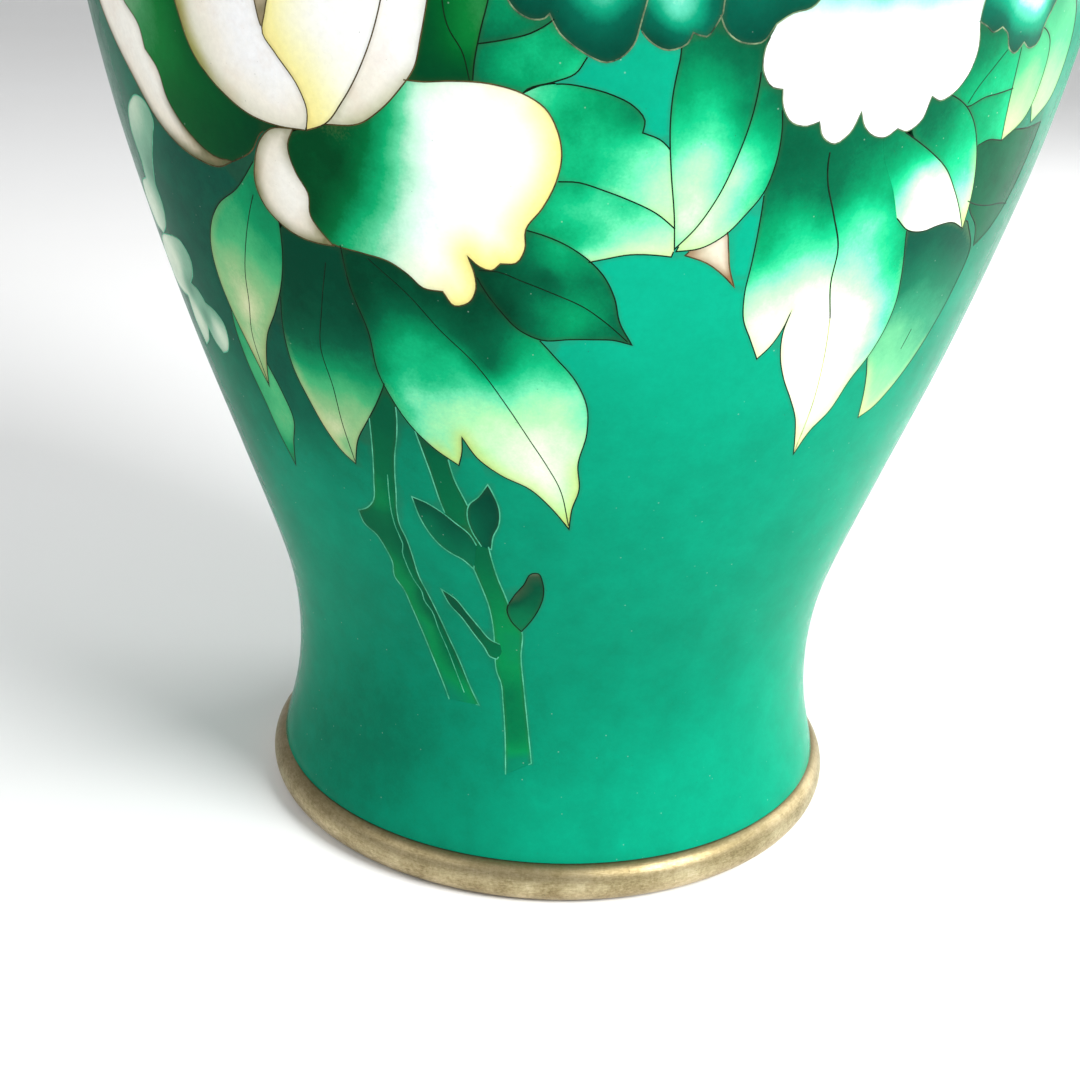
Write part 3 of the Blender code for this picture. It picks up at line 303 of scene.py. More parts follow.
# Enamel colours, sRGB hex, from the bottom to the top of each ramp: (share of the ramp, colour)
RAMPS = {
    "ground": [(0, "0B5A48"), (0.3, "0A8566"), (0.6, "08AB89"), (1, "0CC0A0")],
    "leaf": [
        (0, "024A31"), (0.2, "05704C"), (0.38, "05A16C"), (0.5, "18C38B"), (0.58, "48D4A0"),
        (0.66, "80E8BA"), (0.8, "BFF5C0"), (0.9, "E6FCDA"), (1, "FDFFF4")],
    "warm": [
        (0, "044F38"), (0.2, "0A6C4D"), (0.4, "15A670"), (0.6, "5AC48A"), (0.8, "9CCE98"), (0.92, "CFDEB2"),
        (1, "E6EAC6")],
    "lobed": [
        (0, "03522B"), (0.25, "027B44"), (0.45, "16B87C"), (0.62, "6FDDAE"), (0.8, "D4F8E4"),
        (1, "FFFFFF")],
    "moss": [(0, "014C2B"), (0.35, "016A30"), (0.6, "0A843C"), (0.8, "4A9F66"), (1, "8FBC96")],
    "white": [(0, "9DAA5C"), (0.25, "D3D299"), (0.5, "ECEADA"), (0.8, "FAF6EC"), (1, "FFFFFF")],
    "yellow": [(0, "F9EA98"), (0.3, "FEF8BA"), (0.6, "FFFDDA"), (1, "FFFFFD")],
    "cream": [(0, "6E6C48"), (0.25, "A79C7C"), (0.5, "D9D2BC"), (0.8, "F2EDE0"), (1, "FBF9F2")],
    "snow": [(0, "14A579"), (0.35, "7FE3C0"), (0.7, "E0FBF2"), (0.85, "FFFFFF"), (1, "FFFFFF")],
    "teal": [(0, "034838"), (0.3, "046B54"), (0.55, "11A681"), (0.8, "6CD3B8"), (1, "E4FAF2")],
    "stem": [(0, "045C42"), (0.35, "04784E"), (0.6, "08985A"), (0.8, "0A8C6A"), (1, "09926E")],
    "bud": [(0, "044A38"), (0.5, "066C4E"), (1, "0C8A60")],
    "bud_tip": [(0, "74826A"), (0.2, "3A5E44"), (0.45, "085C40"), (1, "0C8458")],
    "lemon": [(0, "0A8A60"), (0.5, "4CBE86"), (1, "C6E6A6")],
    "haze": [(0, "055843"), (0.3, "167C5C"), (0.5, "3CA07A"), (0.75, "7CCB9A"), (1, "AEE0A6")],
    "mist": [(0, "3C8068"), (0.5, "90C0A6"), (1, "E2F0DC")],
}

# How each inlay is shaded: its ramp, then places (turn, height, share of the ramp) between which the
# colour flows
SHADES = {
    # The ground and the patch below are one even enamel: their places paint light and shade on it, lightest
    # towards the right of the front, darkest on the upper left beside the flowers and a little darker low
    # down
    "enamel_ground": ("ground", [
        (-46, 109, 0), (-52, 104, 0.05), (-40, 90, 0.05), (-37, 95, 0), (-60, 118, 0.15), (-66, 105, 0.2),
        (-58, 75, 0.3), (-45, 62, 0.47), (-30, 45, 0.38), (-60, 40, 0.46), (-18, 60, 0.45), (-10, 30, 0.4),
        (-35, 20, 0.3), (0, 58, 0.47), (5, 80, 0.55), (8, 103, 0.82), (13, 103, 0.72), (16, 92, 0.62),
        (25, 70, 0.5), (20, 40, 0.42), (40, 55, 0.45), (-25, 9, 0.4), (2, 9, 0.48), (25, 9, 0.54),
        (50, 12, 0.5), (60, 60, 0.5), (45, 75, 0.5), (55, 97, 0.4), (60, 107, 0.25), (75, 130, 0.45),
        (110, 130, 0.5), (110, 40, 0.45), (-110, 40, 0.42), (-110, 130, 0.42), (180, 200, 0.5),
        (0, 180, 0.5), (90, 200, 0.5), (-90, 200, 0.5), (0, 235, 0.4), (120, 235, 0.4), (-120, 235, 0.4),
        (180, 100, 0.5), (150, 60, 0.45)]),
    "enamel_ground_patch": ("ground", [(3, 129, 0.68), (7, 127, 0.7), (8, 121, 0.68)]),
    "petal_large_lobed": ("lobed", [
        (-29, 117, 0), (-26, 119, 0.02), (-22, 122, 0.08), (-27, 112, 0), (-24, 115.5, 0.02),
        (-28.5, 108.5, 0.05), (-25.5, 109, 0.2), (-26, 106, 0.28), (-23, 107.5, 0.5), (-23.2, 112, 0.26),
        (-21.4, 115.5, 0.28), (-19.8, 119.5, 0.3), (-18.6, 123.5, 0.38), (-20.6, 110.5, 0.48),
        (-19, 114, 0.46), (-17.6, 118, 0.56), (-16.6, 123, 0.6), (-17, 126.6, 0.5), (-20.5, 106, 0.66),
        (-18, 108, 0.78), (-16.4, 112, 0.8), (-15, 118, 0.86), (-14.4, 124, 0.88), (-12.6, 120, 0.98),
        (-14.5, 105, 1), (-12, 115, 1), (-9, 124, 1), (-7, 115, 1), (-12, 102, 1), (-4, 120, 1),
        (-4, 111, 1)]),
    "petal_white_left": ("white", [
        (-44, 145, 0.15), (-42, 134, 0.2), (-40, 127, 0.3), (-37, 123.3, 0.45), (-40.6, 142, 0.6),
        (-39, 133, 0.68), (-36.5, 127, 0.78), (-37, 147, 0.88), (-35, 136, 0.95), (-33, 128, 0.98),
        (-30, 123.5, 0.9), (-28, 121.3, 0.72), (-32.5, 145, 1), (-31.5, 121, 0.7)]),
    "petal_white_right": ("white", [
        (-24.4, 121.5, 0.5), (-20.4, 122.3, 0.6), (-17, 126.5, 0.85), (-14.5, 131, 1), (-13.5, 141, 1),
        (-19, 133, 0.85), (-20.2, 142, 0.75), (-21.8, 127.5, 0.7), (-16, 137, 1)]),
    "petal_yellow_centre": ("yellow", [
        (-30, 134, 0.15), (-29, 129.5, 0.2), (-27.6, 125.5, 0.1), (-26.6, 122, 0.1), (-28.4, 140, 0.25),
        (-27.4, 148, 0.35), (-27.4, 133, 0.66), (-25.4, 126, 0.42), (-26.4, 137, 0.7), (-24.6, 131, 0.85),
        (-24, 137, 0.95), (-23, 126, 0.75), (-21, 131, 1), (-20, 141, 1), (-25, 151, 0.5),
        (-24.4, 122, 0.35)]),
    "petal_blush_back": ("cream", [(-31, 131, 0.15), (-31.6, 134, 0.3), (-32, 140, 0.5), (-33, 152, 0.7)]),
    "petal_cream_curl": ("cream", [
        (-28.8, 119, 0.85), (-29.8, 115, 1), (-32, 113, 0.95), (-34.8, 112.5, 0.62), (-33.6, 117.5, 0.7),
        (-31, 109, 0.92), (-28.6, 111, 1), (-27, 106.2, 0.5), (-31, 106.6, 0.72)]),
    "petal_cream_crescent": ("cream", [
        (-40.5, 114, 0.15), (-43.5, 115, 0.42), (-46.5, 117.5, 0.8), (-50, 122.5, 0.98), (-53, 128, 1),
        (-57, 134, 1), (-58, 145, 1), (-62, 141, 0.7), (-47, 115.3, 0.5), (-53.5, 121, 0.75)]),
    "petal_green_left": ("moss", [
        (-33, 120, 0), (-38, 118, 0.08), (-43, 117.5, 0.15), (-36, 124, 0.1), (-41, 123.5, 0.3),
        (-44, 128, 0.5), (-42, 134, 0.3), (-46.5, 123, 0.4), (-47.6, 130, 0.68), (-50, 134, 0.9),
        (-50, 143, 0.95), (-46, 141, 0.7), (-43.8, 146, 0.4), (-53, 146, 1), (-40, 130, 0.15)]),
    "petal_teal_left": ("teal", [
        (1.6, 132, 0.1), (-1.6, 135, 0.12), (4.4, 136, 0.2), (1.5, 136.5, 0.6), (1.8, 140, 0.85),
        (-4.2, 135.4, 0.06), (-5.6, 137, 0.08), (-4.6, 138.4, 0.3), (-2.8, 137, 0.15), (-1.4, 142, 0.45),
        (4.6, 143, 0.4), (1.5, 150, 0.3)]),
    "petal_teal_middle": ("teal", [
        (7.3, 133.3, 0.15), (5.2, 136, 0.25), (8, 136, 0.75), (8.2, 140, 0.95), (11.2, 138, 0.25),
        (5.2, 143, 0.45), (8, 149, 0.4)]),
    "petal_teal_right": ("teal", [
        (14, 134, 0.1), (17.6, 137.5, 0.12), (20.3, 140, 0.2), (14.6, 138, 0.3), (12.4, 138, 0.2),
        (15.5, 143, 0.55), (15, 150, 0.35)]),
    "petal_teal_crown": ("teal", [
        (-3, 155, 0.2), (5, 157, 0.55), (12, 157, 0.55), (0, 163, 0.1), (10, 167, 0.08), (17, 157, 0.2)]),
    "petal_white_scalloped": ("snow", [
        (19.6, 138.4, 0.5), (22.4, 137.8, 0.42), (27, 138, 0.36), (33, 138.2, 0.4), (37.6, 136.8, 0.62),
        (21, 143, 0.3), (28, 142, 0.3), (35, 143, 0.35), (24, 149, 0.2), (33, 148, 0.25), (20, 132, 1),
        (24, 134.4, 0.95), (28, 134.6, 0.9), (34, 134.4, 0.95), (26, 127, 1), (33, 127, 1), (38, 131, 1)]),
    "petal_white_crown": ("snow", [
        (24, 149, 0.4), (33, 147, 0.45), (25, 158, 0.85), (34, 158, 0.95), (40, 156, 0.85), (30, 166, 1)]),
    "petal_teal_far": ("teal", [
        (43, 135.5, 0.2), (47.6, 132.6, 0.15), (41, 138, 0.4), (45, 138, 0.85), (49.5, 137.5, 0.9),
        (46, 147, 0.5), (52.3, 138, 0.25)]),
    "leaf_crown_left": ("moss", [
        (-15, 128, 0.05), (-13.5, 134, 0.15), (-14, 143, 0.2), (-10.6, 128.5, 0.1), (-10.4, 132, 0.55),
        (-9.8, 137, 0.62), (-9, 147, 0.5)]),
    "leaf_crown_middle": ("leaf", [
        (-8.6, 133, 0.2), (-5, 134, 0.25), (-7, 138, 0.36), (-3, 137, 0.25), (-6, 147, 0.3)]),
    "leaf_crown_low": ("leaf", [
        (-9.5, 127.5, 0.2), (-8.6, 132, 0.25), (-6.6, 130, 0.38), (-3.5, 132, 0.4), (-1, 131, 0.38),
        (-6.5, 126, 0.25), (-2.5, 128.6, 0.42), (-0.6, 129.6, 0.5)]),
    "leaf_upright_left": ("leaf", [
        (12, 136, 0.1), (10, 131.5, 0.25), (13.5, 131, 0.2), (12.4, 127.5, 0.4), (9.6, 126, 0.38),
        (15.4, 125.5, 0.25), (12.4, 123.5, 0.58), (10, 121, 0.58), (14.6, 120.5, 0.55), (12.2, 119.5, 0.76),
        (11.6, 115.5, 0.82), (10.2, 114.5, 0.75), (13.6, 117, 0.68), (11.4, 111.5, 0.82),
        (10.7, 109.2, 0.72)]),
    "leaf_upright_right": ("leaf", [
        (16.6, 132.5, 0.12), (17.5, 128.5, 0.18), (16.4, 126, 0.26), (18.8, 123, 0.36), (16.8, 121.8, 0.5),
        (19, 117.5, 0.46), (17.8, 118.5, 0.56), (15.6, 117.6, 0.74), (17.3, 114.6, 0.58),
        (14.4, 113.6, 0.82), (15.6, 111.8, 0.7), (12.6, 110.6, 0.85), (13.6, 109.2, 0.8),
        (11.2, 108.4, 0.75)]),
    "leaf_cream_tip": ("cream", [
        (12.6, 108.5, 0.42), (15.6, 109, 0.7), (15.8, 107, 0.62), (16.6, 105.8, 0.5), (17.5, 103.7, 0.1)]),
    "leaf_split_upper": ("leaf", [
        (-4.8, 126, 0.62), (-4, 123.5, 0.44), (-4, 119, 0.42), (0, 125.5, 0.42), (-1, 120, 0.44),
        (3, 126, 0.35), (5.4, 124.4, 0.3), (2.4, 121.5, 0.46), (1, 117.8, 0.46), (5.4, 121, 0.56),
        (3.6, 117.4, 0.55), (8.5, 120.3, 0.66), (6.4, 117.6, 0.7), (9.6, 116.5, 0.78), (9.8, 112.5, 0.8)]),
    "leaf_split_lower": ("leaf", [
        (-4, 111.6, 0.4), (-3, 115.4, 0.4), (-2.6, 109, 0.36), (0.2, 115, 0.46), (0, 112.5, 0.55),
        (0.4, 109, 0.45), (2.2, 113, 0.58), (2.4, 109.6, 0.54), (5, 110.6, 0.66), (5, 113.4, 0.56),
        (7.4, 109.4, 0.76), (7.4, 112.3, 0.64), (9.4, 109, 0.78), (1.4, 106.8, 0.7)]),
    "leaf_dark_pointed": ("leaf", [
        (-9.5, 107, 0), (-9, 103.5, 0), (-6, 108.4, 0.12), (-4, 107, 0.26), (-1.6, 106, 0.36),
        (0.4, 104.6, 0.3), (2.8, 103.4, 0.24), (4.6, 100.5, 0.22), (-6, 103, 0.08), (-3.6, 101.6, 0.22),
        (-1, 100, 0.34), (1, 98.6, 0.36), (4, 97.4, 0.24), (6.6, 95.8, 0.14), (-3, 97.5, 0.22),
        (-6, 99, 0.05), (-2.4, 103.6, 0.1)]),
    "leaf_broad": ("leaf", [
        (-24, 104, 0), (-23, 97.5, 0.06), (-19, 104, 0), (-14.2, 100, 0.03), (-9, 102, 0.02),
        (-11.6, 95.7, 0.1), (-8.9, 91.2, 0.22), (-7.6, 98, 0.1), (-20.6, 95.5, 0.28), (-17.7, 93.6, 0.45),
        (-19.6, 90.6, 0.46), (-15.4, 91, 0.47), (-12.4, 92.4, 0.42), (-22.3, 88.6, 0.36),
        (-19.4, 88.5, 0.5), (-16.2, 87.8, 0.53), (-13.6, 88.2, 0.53), (-10.9, 89.8, 0.5), (-21.2, 85, 0.48),
        (-18.6, 85.4, 0.66), (-15.6, 85.4, 0.68), (-12, 86.2, 0.7), (-9.2, 87.4, 0.64), (-19, 82, 0.6),
        (-16.6, 81, 0.72), (-14, 78, 0.72), (-6.4, 95.1, 0.3), (-4.1, 95.9, 0.36), (-3, 92.6, 0.47),
        (-0.3, 93.2, 0.45), (-5.5, 88.7, 0.6), (-3.1, 90.2, 0.6), (-0.2, 90.4, 0.57), (1.4, 90, 0.58),
        (-7, 86.2, 0.66), (-4, 86.4, 0.74), (0, 87, 0.74), (2, 85, 0.68), (-11, 82, 0.78), (-8, 79.6, 0.88),
        (-3.4, 82, 0.86), (1, 82, 0.8), (-4, 76, 0.9), (-0.4, 78, 0.9), (1.6, 75, 0.83), (-1, 72, 0.88),
        (1.2, 71, 0.84), (1, 68, 0.78)]),
    "leaf_left": ("warm", [
        (-36.4, 112, 0.34), (-40, 107.6, 0.46), (-36, 107, 0.36), (-43.8, 104.6, 0.54), (-45.8, 101, 0.72),
        (-42.5, 100, 0.8), (-38.4, 102.6, 0.55), (-35.4, 101, 0.52), (-45, 96, 0.85), (-45.4, 91, 0.8),
        (-42.6, 93, 0.95), (-40.4, 96.4, 0.85), (-37.4, 97.6, 0.7), (-43.8, 86.6, 0.88), (-43.6, 82.6, 0.6),
        (-41.6, 88, 0.8), (-39.8, 92, 0.8)]),
    "leaf_left_low": ("warm", [
        (-46, 89, 0.45), (-44, 83, 0.58), (-42, 80, 0.6), (-44, 76, 0.62), (-43.8, 70.4, 0.35),
        (-45.6, 79, 0.5)]),
    "leaf_narrow": ("warm", [
        (-31, 101, 0), (-34, 97.5, 0), (-28, 98, 0), (-24.5, 96, 0.02), (-35.6, 91, 0.2), (-33, 91.4, 0.18),
        (-29, 93, 0.14), (-25, 90.6, 0.22), (-23, 88, 0.3), (-35.6, 87, 0.44), (-33.4, 86.4, 0.45),
        (-28, 87, 0.42), (-24.6, 85, 0.46), (-34.6, 82, 0.74), (-32.4, 81.6, 0.76), (-31.8, 77.6, 0.92),
        (-29.4, 82, 0.72), (-27, 81.6, 0.72), (-28.8, 78, 0.8), (-30.2, 74, 0.6)]),
    "leaf_far_left": ("mist", [
        (-61, 95.5, 0.95), (-64.5, 93, 0.9), (-57, 97.5, 0.55), (-59, 98.6, 0.7), (-59.6, 88, 1),
        (-61.4, 85, 0.9), (-57, 91, 0.5), (-53.2, 87.4, 0.95), (-54, 84.8, 0.75), (-51.8, 89.4, 0.5),
        (-59, 92.4, 0.3), (-56.2, 88.6, 0.3)]),
    "leaf_far_left_high": ("mist", [
        (-57, 118.4, 0.8), (-60.4, 116, 0.7), (-54, 117.6, 0.45), (-57, 113, 0.4), (-59, 109, 0.3),
        (-62, 105, 0.8), (-65, 102, 0.95), (-60, 103, 0.6), (-61.5, 112, 0.5)]),
    "leaf_right_large": ("leaf", [
        (20, 126, 0.12), (25, 123, 0.16), (31, 122, 0.24), (19.6, 117, 0.16), (23, 116.4, 0.18),
        (26.6, 115.6, 0.2), (30, 116.4, 0.32), (33, 117.4, 0.36), (35, 114.6, 0.32), (20.2, 111.6, 0.32),
        (23.4, 111.4, 0.44), (26.4, 110.4, 0.42), (31.4, 111.6, 0.6), (33.8, 110.6, 0.58),
        (37.2, 109.6, 0.42), (20, 106.6, 0.46), (22.8, 106.4, 0.6), (25.6, 105.4, 0.76), (28.2, 105.6, 0.7),
        (31.6, 105.6, 0.7), (35, 105.4, 0.62), (38.6, 104.4, 0.5), (20, 102.4, 0.7), (21.6, 98.6, 0.88),
        (23, 95, 0.92), (27, 99.4, 0.96), (33, 98.6, 0.95), (37, 98, 0.82), (40, 98, 0.62), (29, 91, 1),
        (34, 90, 0.96), (36.6, 86.6, 0.84), (39.6, 92.6, 0.7), (32.6, 82, 0.88), (33, 78.4, 0.7),
        (26, 95, 0.95)]),
    "leaf_white_tip": ("leaf", [
        (31.6, 123.4, 0.2), (34.6, 121, 0.3), (34.8, 116.6, 0.5), (37.6, 117, 0.8), (36.8, 112.4, 0.8),
        (39.6, 113, 1), (42.8, 112.6, 1), (46, 110.6, 0.92), (41, 116, 0.85), (38, 119.2, 0.5)]),
    "leaf_narrow_right": ("leaf", [
        (38, 125.4, 0.2), (41, 123.6, 0.36), (36, 124, 0.18), (42.6, 121.5, 0.42), (43.6, 118, 0.52),
        (40, 121, 0.35), (46, 116, 0.62), (47.6, 112, 0.78), (45, 114.6, 0.68), (48.9, 109, 0.75)]),
    "leaf_right_low": ("haze", [
        (40, 108, 0), (44.5, 107, 0.05), (50, 106, 0), (41, 100.6, 0.28), (46, 101, 0.34), (51, 100, 0.28),
        (42, 94.6, 0.66), (46, 94, 0.62), (51, 95, 0.46), (42, 89.4, 0.72), (45, 88.4, 0.76),
        (48.6, 89, 0.68), (43.8, 84, 0.95), (46, 84.4, 0.85)]),
    "leaf_pale_right": ("lemon", [
        (49, 131.4, 0.3), (52, 130, 0.6), (53, 124, 0.8), (50.6, 122.6, 0.95), (54, 131.6, 0.4)]),
    "leaf_veined_upper": ("leaf", [
        (42, 127.6, 0.36), (45, 128.4, 0.42), (44, 132.4, 0.28), (48, 131, 0.42), (41, 134, 0.18)]),
    "leaf_veined_lower": ("leaf", [
        (44, 123, 0.34), (47, 126, 0.38), (48, 122.4, 0.42), (50, 124, 0.52), (43, 126, 0.28)]),
    "leaf_dark_right": ("leaf", [(46, 117, 0.1), (50, 115, 0.1), (55, 112, 0.12), (58, 118, 0.1)]),
    "leaf_far_right": ("lemon", [
        (55, 134, 0.4), (56, 128, 0.75), (58, 126, 0.8), (60, 130, 0.6), (54, 138, 0.2)]),
    "bud_left": ("bud", [
        (-20.4, 68, 0.25), (-17, 65, 0.35), (-14, 62, 0.55), (-13, 59, 0.75), (-19, 65, 0.7)]),
    "bud_upright": ("bud", [(-10.4, 70, 0.1), (-10, 65, 0.2), (-12, 65.4, 0.45)]),
    "bud_side": ("bud_tip", [
        (-3, 58.4, 0), (-5.2, 55.4, 0.2), (-3.4, 56.4, 0.4), (-2.6, 55, 0.5), (-6.6, 52.8, 0.24),
        (-4.6, 52.6, 0.55), (-3, 52, 0.6), (-5, 48.6, 0.95), (-6.6, 50.6, 0.8)]),
    "twig_dark": ("stem", [(-18, 51, 0.05), (-14, 46.6, 0.1), (-10.4, 41.6, 0.4)]),
    "stem_right": ("stem", [
        (-12, 60, 0.3), (-10.4, 56.6, 0.4), (-8.2, 52, 0.5), (-7.6, 46, 0.62), (-7.4, 41, 0.66),
        (-7, 35, 0.4), (-6.4, 29, 0.4), (-6, 25.5, 0.5), (-5.5, 22.4, 0.9)]),
    "stem_upper": ("stem", [(-18, 79, 0.1), (-16.4, 72, 0.3), (-14.6, 67, 0.35)]),
    "stem_left": ("stem", [
        (-24, 80.4, 0.14), (-25.4, 74, 0.3), (-27.4, 67, 0.5), (-31, 63, 0.2), (-26.8, 57, 0.46),
        (-25, 51.6, 0.5), (-22.6, 45, 0.58), (-19.6, 37, 0.55), (-18, 33.4, 0.75), (-15, 33.4, 0.6),
        (-24.2, 59, 0.12), (-22, 50.6, 0.12), (-20.2, 46, 0.14), (-17.8, 39.6, 0.24)]),
    "flower_back_heart": ("yellow", [(178, 150, 0), (172, 155, 0.3), (184, 155, 0.35), (178, 142, 0.3)]),
    "flower_back_petals": ("snow", [
        (178, 150, 0.1), (170, 144, 0.3), (186, 144, 0.3), (178, 136, 0.4), (168, 158, 0.5),
        (188, 158, 0.5), (162, 138, 0.9), (194, 138, 0.9), (178, 127, 0.95), (162, 160, 0.95),
        (194, 160, 0.95), (178, 170, 1)]),
    "stem_back": ("stem", [
        (178, 120, 0.15), (179.4, 95, 0.35), (181, 70, 0.5), (185.4, 48, 0.55), (189.6, 31.4, 0.92)]),
    "leaf_back_left": ("leaf", [
        (183, 116, 0.05), (192, 109, 0.3), (201, 101, 0.55), (210, 91, 0.85), (216, 85, 0.75)]),
    "leaf_back_right": ("leaf", [
        (175, 120, 0.05), (166, 114, 0.3), (157, 108, 0.55), (148, 99, 0.85), (142, 93, 0.75)]),
    "leaf_back_low": ("leaf", [(177, 90, 0.1), (172, 80, 0.4), (167, 71, 0.7), (162, 60, 0.88)]),
}

# A second colour that gathers along parts of an inlay's edge: colour, reach (mm), and places
# (turn, height, strength)
RIMS = {
    "petal_large_lobed": ("FBF1A0", 3.6, [
        (-26, 106, 0), (-20.5, 104.5, 0.05), (-17, 102.5, 0.25), (-14.6, 101, 0.6), (-12, 99.5, 1),
        (-9, 104.5, 1), (-5.5, 106, 1), (-4.5, 109, 0.9), (-2.5, 114, 1), (-1.5, 119.5, 1),
        (-2.6, 124.5, 0.9), (-6, 127, 0.45), (-11, 127.4, 0.15), (-18, 127, 0), (-30, 116, 0)]),
    "petal_white_left": ("98964A", 1.7, [
        (-44.5, 146, 1), (-42.4, 135, 1), (-40, 126.5, 0.8), (-37, 123, 0.5), (-33, 121, 0.2),
        (-30, 131, 0.1), (-31.5, 145, 0.1)]),
    "petal_white_right": ("A8AE78", 1.3, [
        (-24, 121, 0.4), (-20.6, 121.8, 0.7), (-17, 125.6, 0.6), (-14.5, 131, 0.3), (-21, 132, 0.3)]),
    "petal_cream_curl": ("7E8250", 1.1, [
        (-35, 112.5, 1), (-34, 108.6, 0.8), (-33, 118, 0.7), (-28.2, 111, 0.2), (-26.4, 105.6, 0.9)]),
    "petal_cream_crescent": ("6E7250", 1.0, [
        (-44, 114.2, 1), (-52, 118.6, 0.8), (-60, 130.4, 0.6), (-50, 127, 0.3)]),
    "leaf_cream_tip": ("A8805A", 0.7, [
        (12.6, 109.4, 0.8), (16, 110.4, 0.6), (17.4, 104, 1), (13.6, 106.4, 0.5), (16, 106, 0.6)]),
    "leaf_broad": ("CFE58E", 1.6, [
        (1.6, 67, 1), (-1, 70, 0.6), (1.8, 71.5, 0.8), (-13.8, 76, 0.9), (2.8, 83, 0.05), (2.4, 88, 0),
        (0, 93, 0), (-20, 81.5, 0.1), (-25, 100, 0), (-24, 92, 0)]),
    "leaf_split_upper": ("D2F0A4", 1.1, [
        (10.4, 112, 0.5), (9.6, 118, 0.3), (7.4, 121.8, 0), (5, 125.6, 0), (0, 127.5, 0), (-5, 123, 0),
        (0, 116.6, 0), (6, 114, 0.15)]),
    "leaf_split_lower": ("DFEFB4", 1.1, [
        (10.2, 107.6, 0.8), (6, 107.6, 0.55), (1, 106.2, 0.35), (10.4, 111, 0.4), (-4, 113, 0)]),
    "leaf_upright_right": ("D6EFB0", 1.1, [
        (12, 108.3, 0.8), (15, 110, 0.4), (17.6, 113.4, 0.15), (19, 117, 0), (19.2, 122, 0), (18, 130, 0),
        (14, 116, 0)]),
    "leaf_left": ("B9BC84", 1.0, [(-43.6, 82, 0.8), (-47, 97, 0.4), (-38, 93.6, 0.4), (-34, 103, 0)]),
    "leaf_narrow": ("D2D8A4", 1.2, [
        (-30.2, 73, 0.6), (-33, 76, 0.8), (-36.6, 84, 0.45), (-36.4, 89, 0.1), (-36, 94, 0), (-27, 79, 0.3),
        (-23, 85, 0), (-30, 104, 0)]),
    "leaf_right_large": ("E6EDB8", 1.1, [
        (33, 77.5, 1), (29, 86, 0.4), (36, 82.6, 0.5), (22.6, 93.4, 0.7), (25, 97, 0.5), (41, 96, 0.1),
        (20, 98, 0.1), (19, 104, 0), (18.8, 113, 0), (18, 126, 0), (37, 113, 0), (30, 120, 0)]),
    "leaf_narrow_right": ("D8EBA0", 1.2, [(49, 109, 0.9), (47.6, 115, 0.4), (43, 124, 0), (38, 127, 0)]),
    "leaf_right_low": ("CFE8A4", 1.2, [
        (43.6, 81.6, 1), (42, 86, 0.6), (47, 83.4, 0.6), (50.5, 88, 0.2), (40, 93, 0.1), (53, 96, 0)]),
}

# Single wires laid inside the cells: ribs of leaves, a groove in a stem and short marks
VEINS = {
    "rib_left": [
        (-36, 110.5), (-37.5, 107.5), (-39.5, 103), (-41, 99), (-42, 94.5), (-43.5, 89.5), (-43.5, 81.8)],
    "rib_narrow": [(-27.5, 103), (-29.5, 96), (-31, 90), (-30.5, 84.5), (-30.5, 79), (-30, 72.8)],
    "rib_broad": [
        (-22, 104.5), (-17.5, 100), (-14.5, 96), (-10.5, 91.5), (-6.5, 85), (-4, 80.5), (-2, 77), (0, 73),
        (1.5, 66.8)],
    "rib_dark_pointed": [
        (-9.5, 104.5), (-7.5, 104.5), (-5, 103.5), (-1.5, 102), (1.5, 100.5), (4, 98.5), (6.7, 95.8)],
    "rib_right_large": [
        (24.9, 120.4), (25, 119), (25.4, 117), (27.2, 112.5), (29, 108), (29.5, 103), (31, 98)],
    "rib_right_tip": [(31, 98), (32, 93), (33, 85), (33, 77.2)],
    "rib_veined": [(45.5, 132), (44, 130), (42, 127), (41.4, 125.6)],
    "rib_crown": [(-12.3, 139), (-11.5, 133), (-10.5, 131), (-9.8, 127.6)],
    "groove_stem": [
        (-24.8, 71.8), (-25.3, 68.5), (-25.6, 65), (-25.5, 63), (-25, 60.8), (-24.8, 59.8), (-25.2, 58.4),
        (-24.9, 56), (-24.2, 53.6), (-23, 51.4), (-22.9, 50), (-21.7, 48.1), (-21, 45), (-19.6, 41.1),
        (-18.3, 37.4), (-16.8, 33.8)],
    "mark_right_low": [(47, 94), (46.5, 91)],
    "mark_dark_right": [(47.8, 112.3), (49.8, 111.6), (53.5, 110.9), (57.5, 110.6), (60.3, 110.1)],
    "rib_back_left": [(184, 115.6), (196, 105.4), (206, 95.8), (216, 85)],
    "rib_back_right": [(174, 119.8), (162, 111.6), (152, 102.6), (142, 93)],
    "rib_back_low": [(177.4, 90), (170, 75.6), (162, 59.6)],
}

# The look of the wire round each cell: the first row that holds the start of the cell's name counts
WIRE_LOOKS = [
    (("bud_side",), "dark"), (("stem", "bud", "twig", "leaf_far_left"), "pale"),
    (("petal_teal", "petal_white_scalloped", "petal_white_crown"), "gold"),
    (("petal", "leaf_cream"), "umber"), (("",), "dark")]

# The look of the wires inside the cells, likewise
VEIN_LOOKS = [("groove", "pale"), ("rib_right_tip", "straw"), ("", "dark")]

# Stretches of outline with no wire, counted from the outline's first point: there the enamel flows on
OPEN_ENDS = {"stem_right": (9, 19, 20), "stem_left": (16,), "stem_back": (5,), "bud_left": (5,),
             "bud_upright": (5,), "twig_dark": (5, 6), "leaf_white_tip": (12, 13, 14),
             "enamel_ground_patch": tuple(range(11))}


# ---------------------------------------------------------------- the wall


def cubic(s, span, start, leaving, end, arriving):
    """A smooth curve at its share s of a span, from its two ends and its slopes there."""
    return ((2 * s**3 - 3 * s**2 + 1) * start + (s**3 - 2 * s**2 + s) * span * leaving
            + (3 * s**2 - 2 * s**3) * end + (s**3 - s**2) * span * arriving)


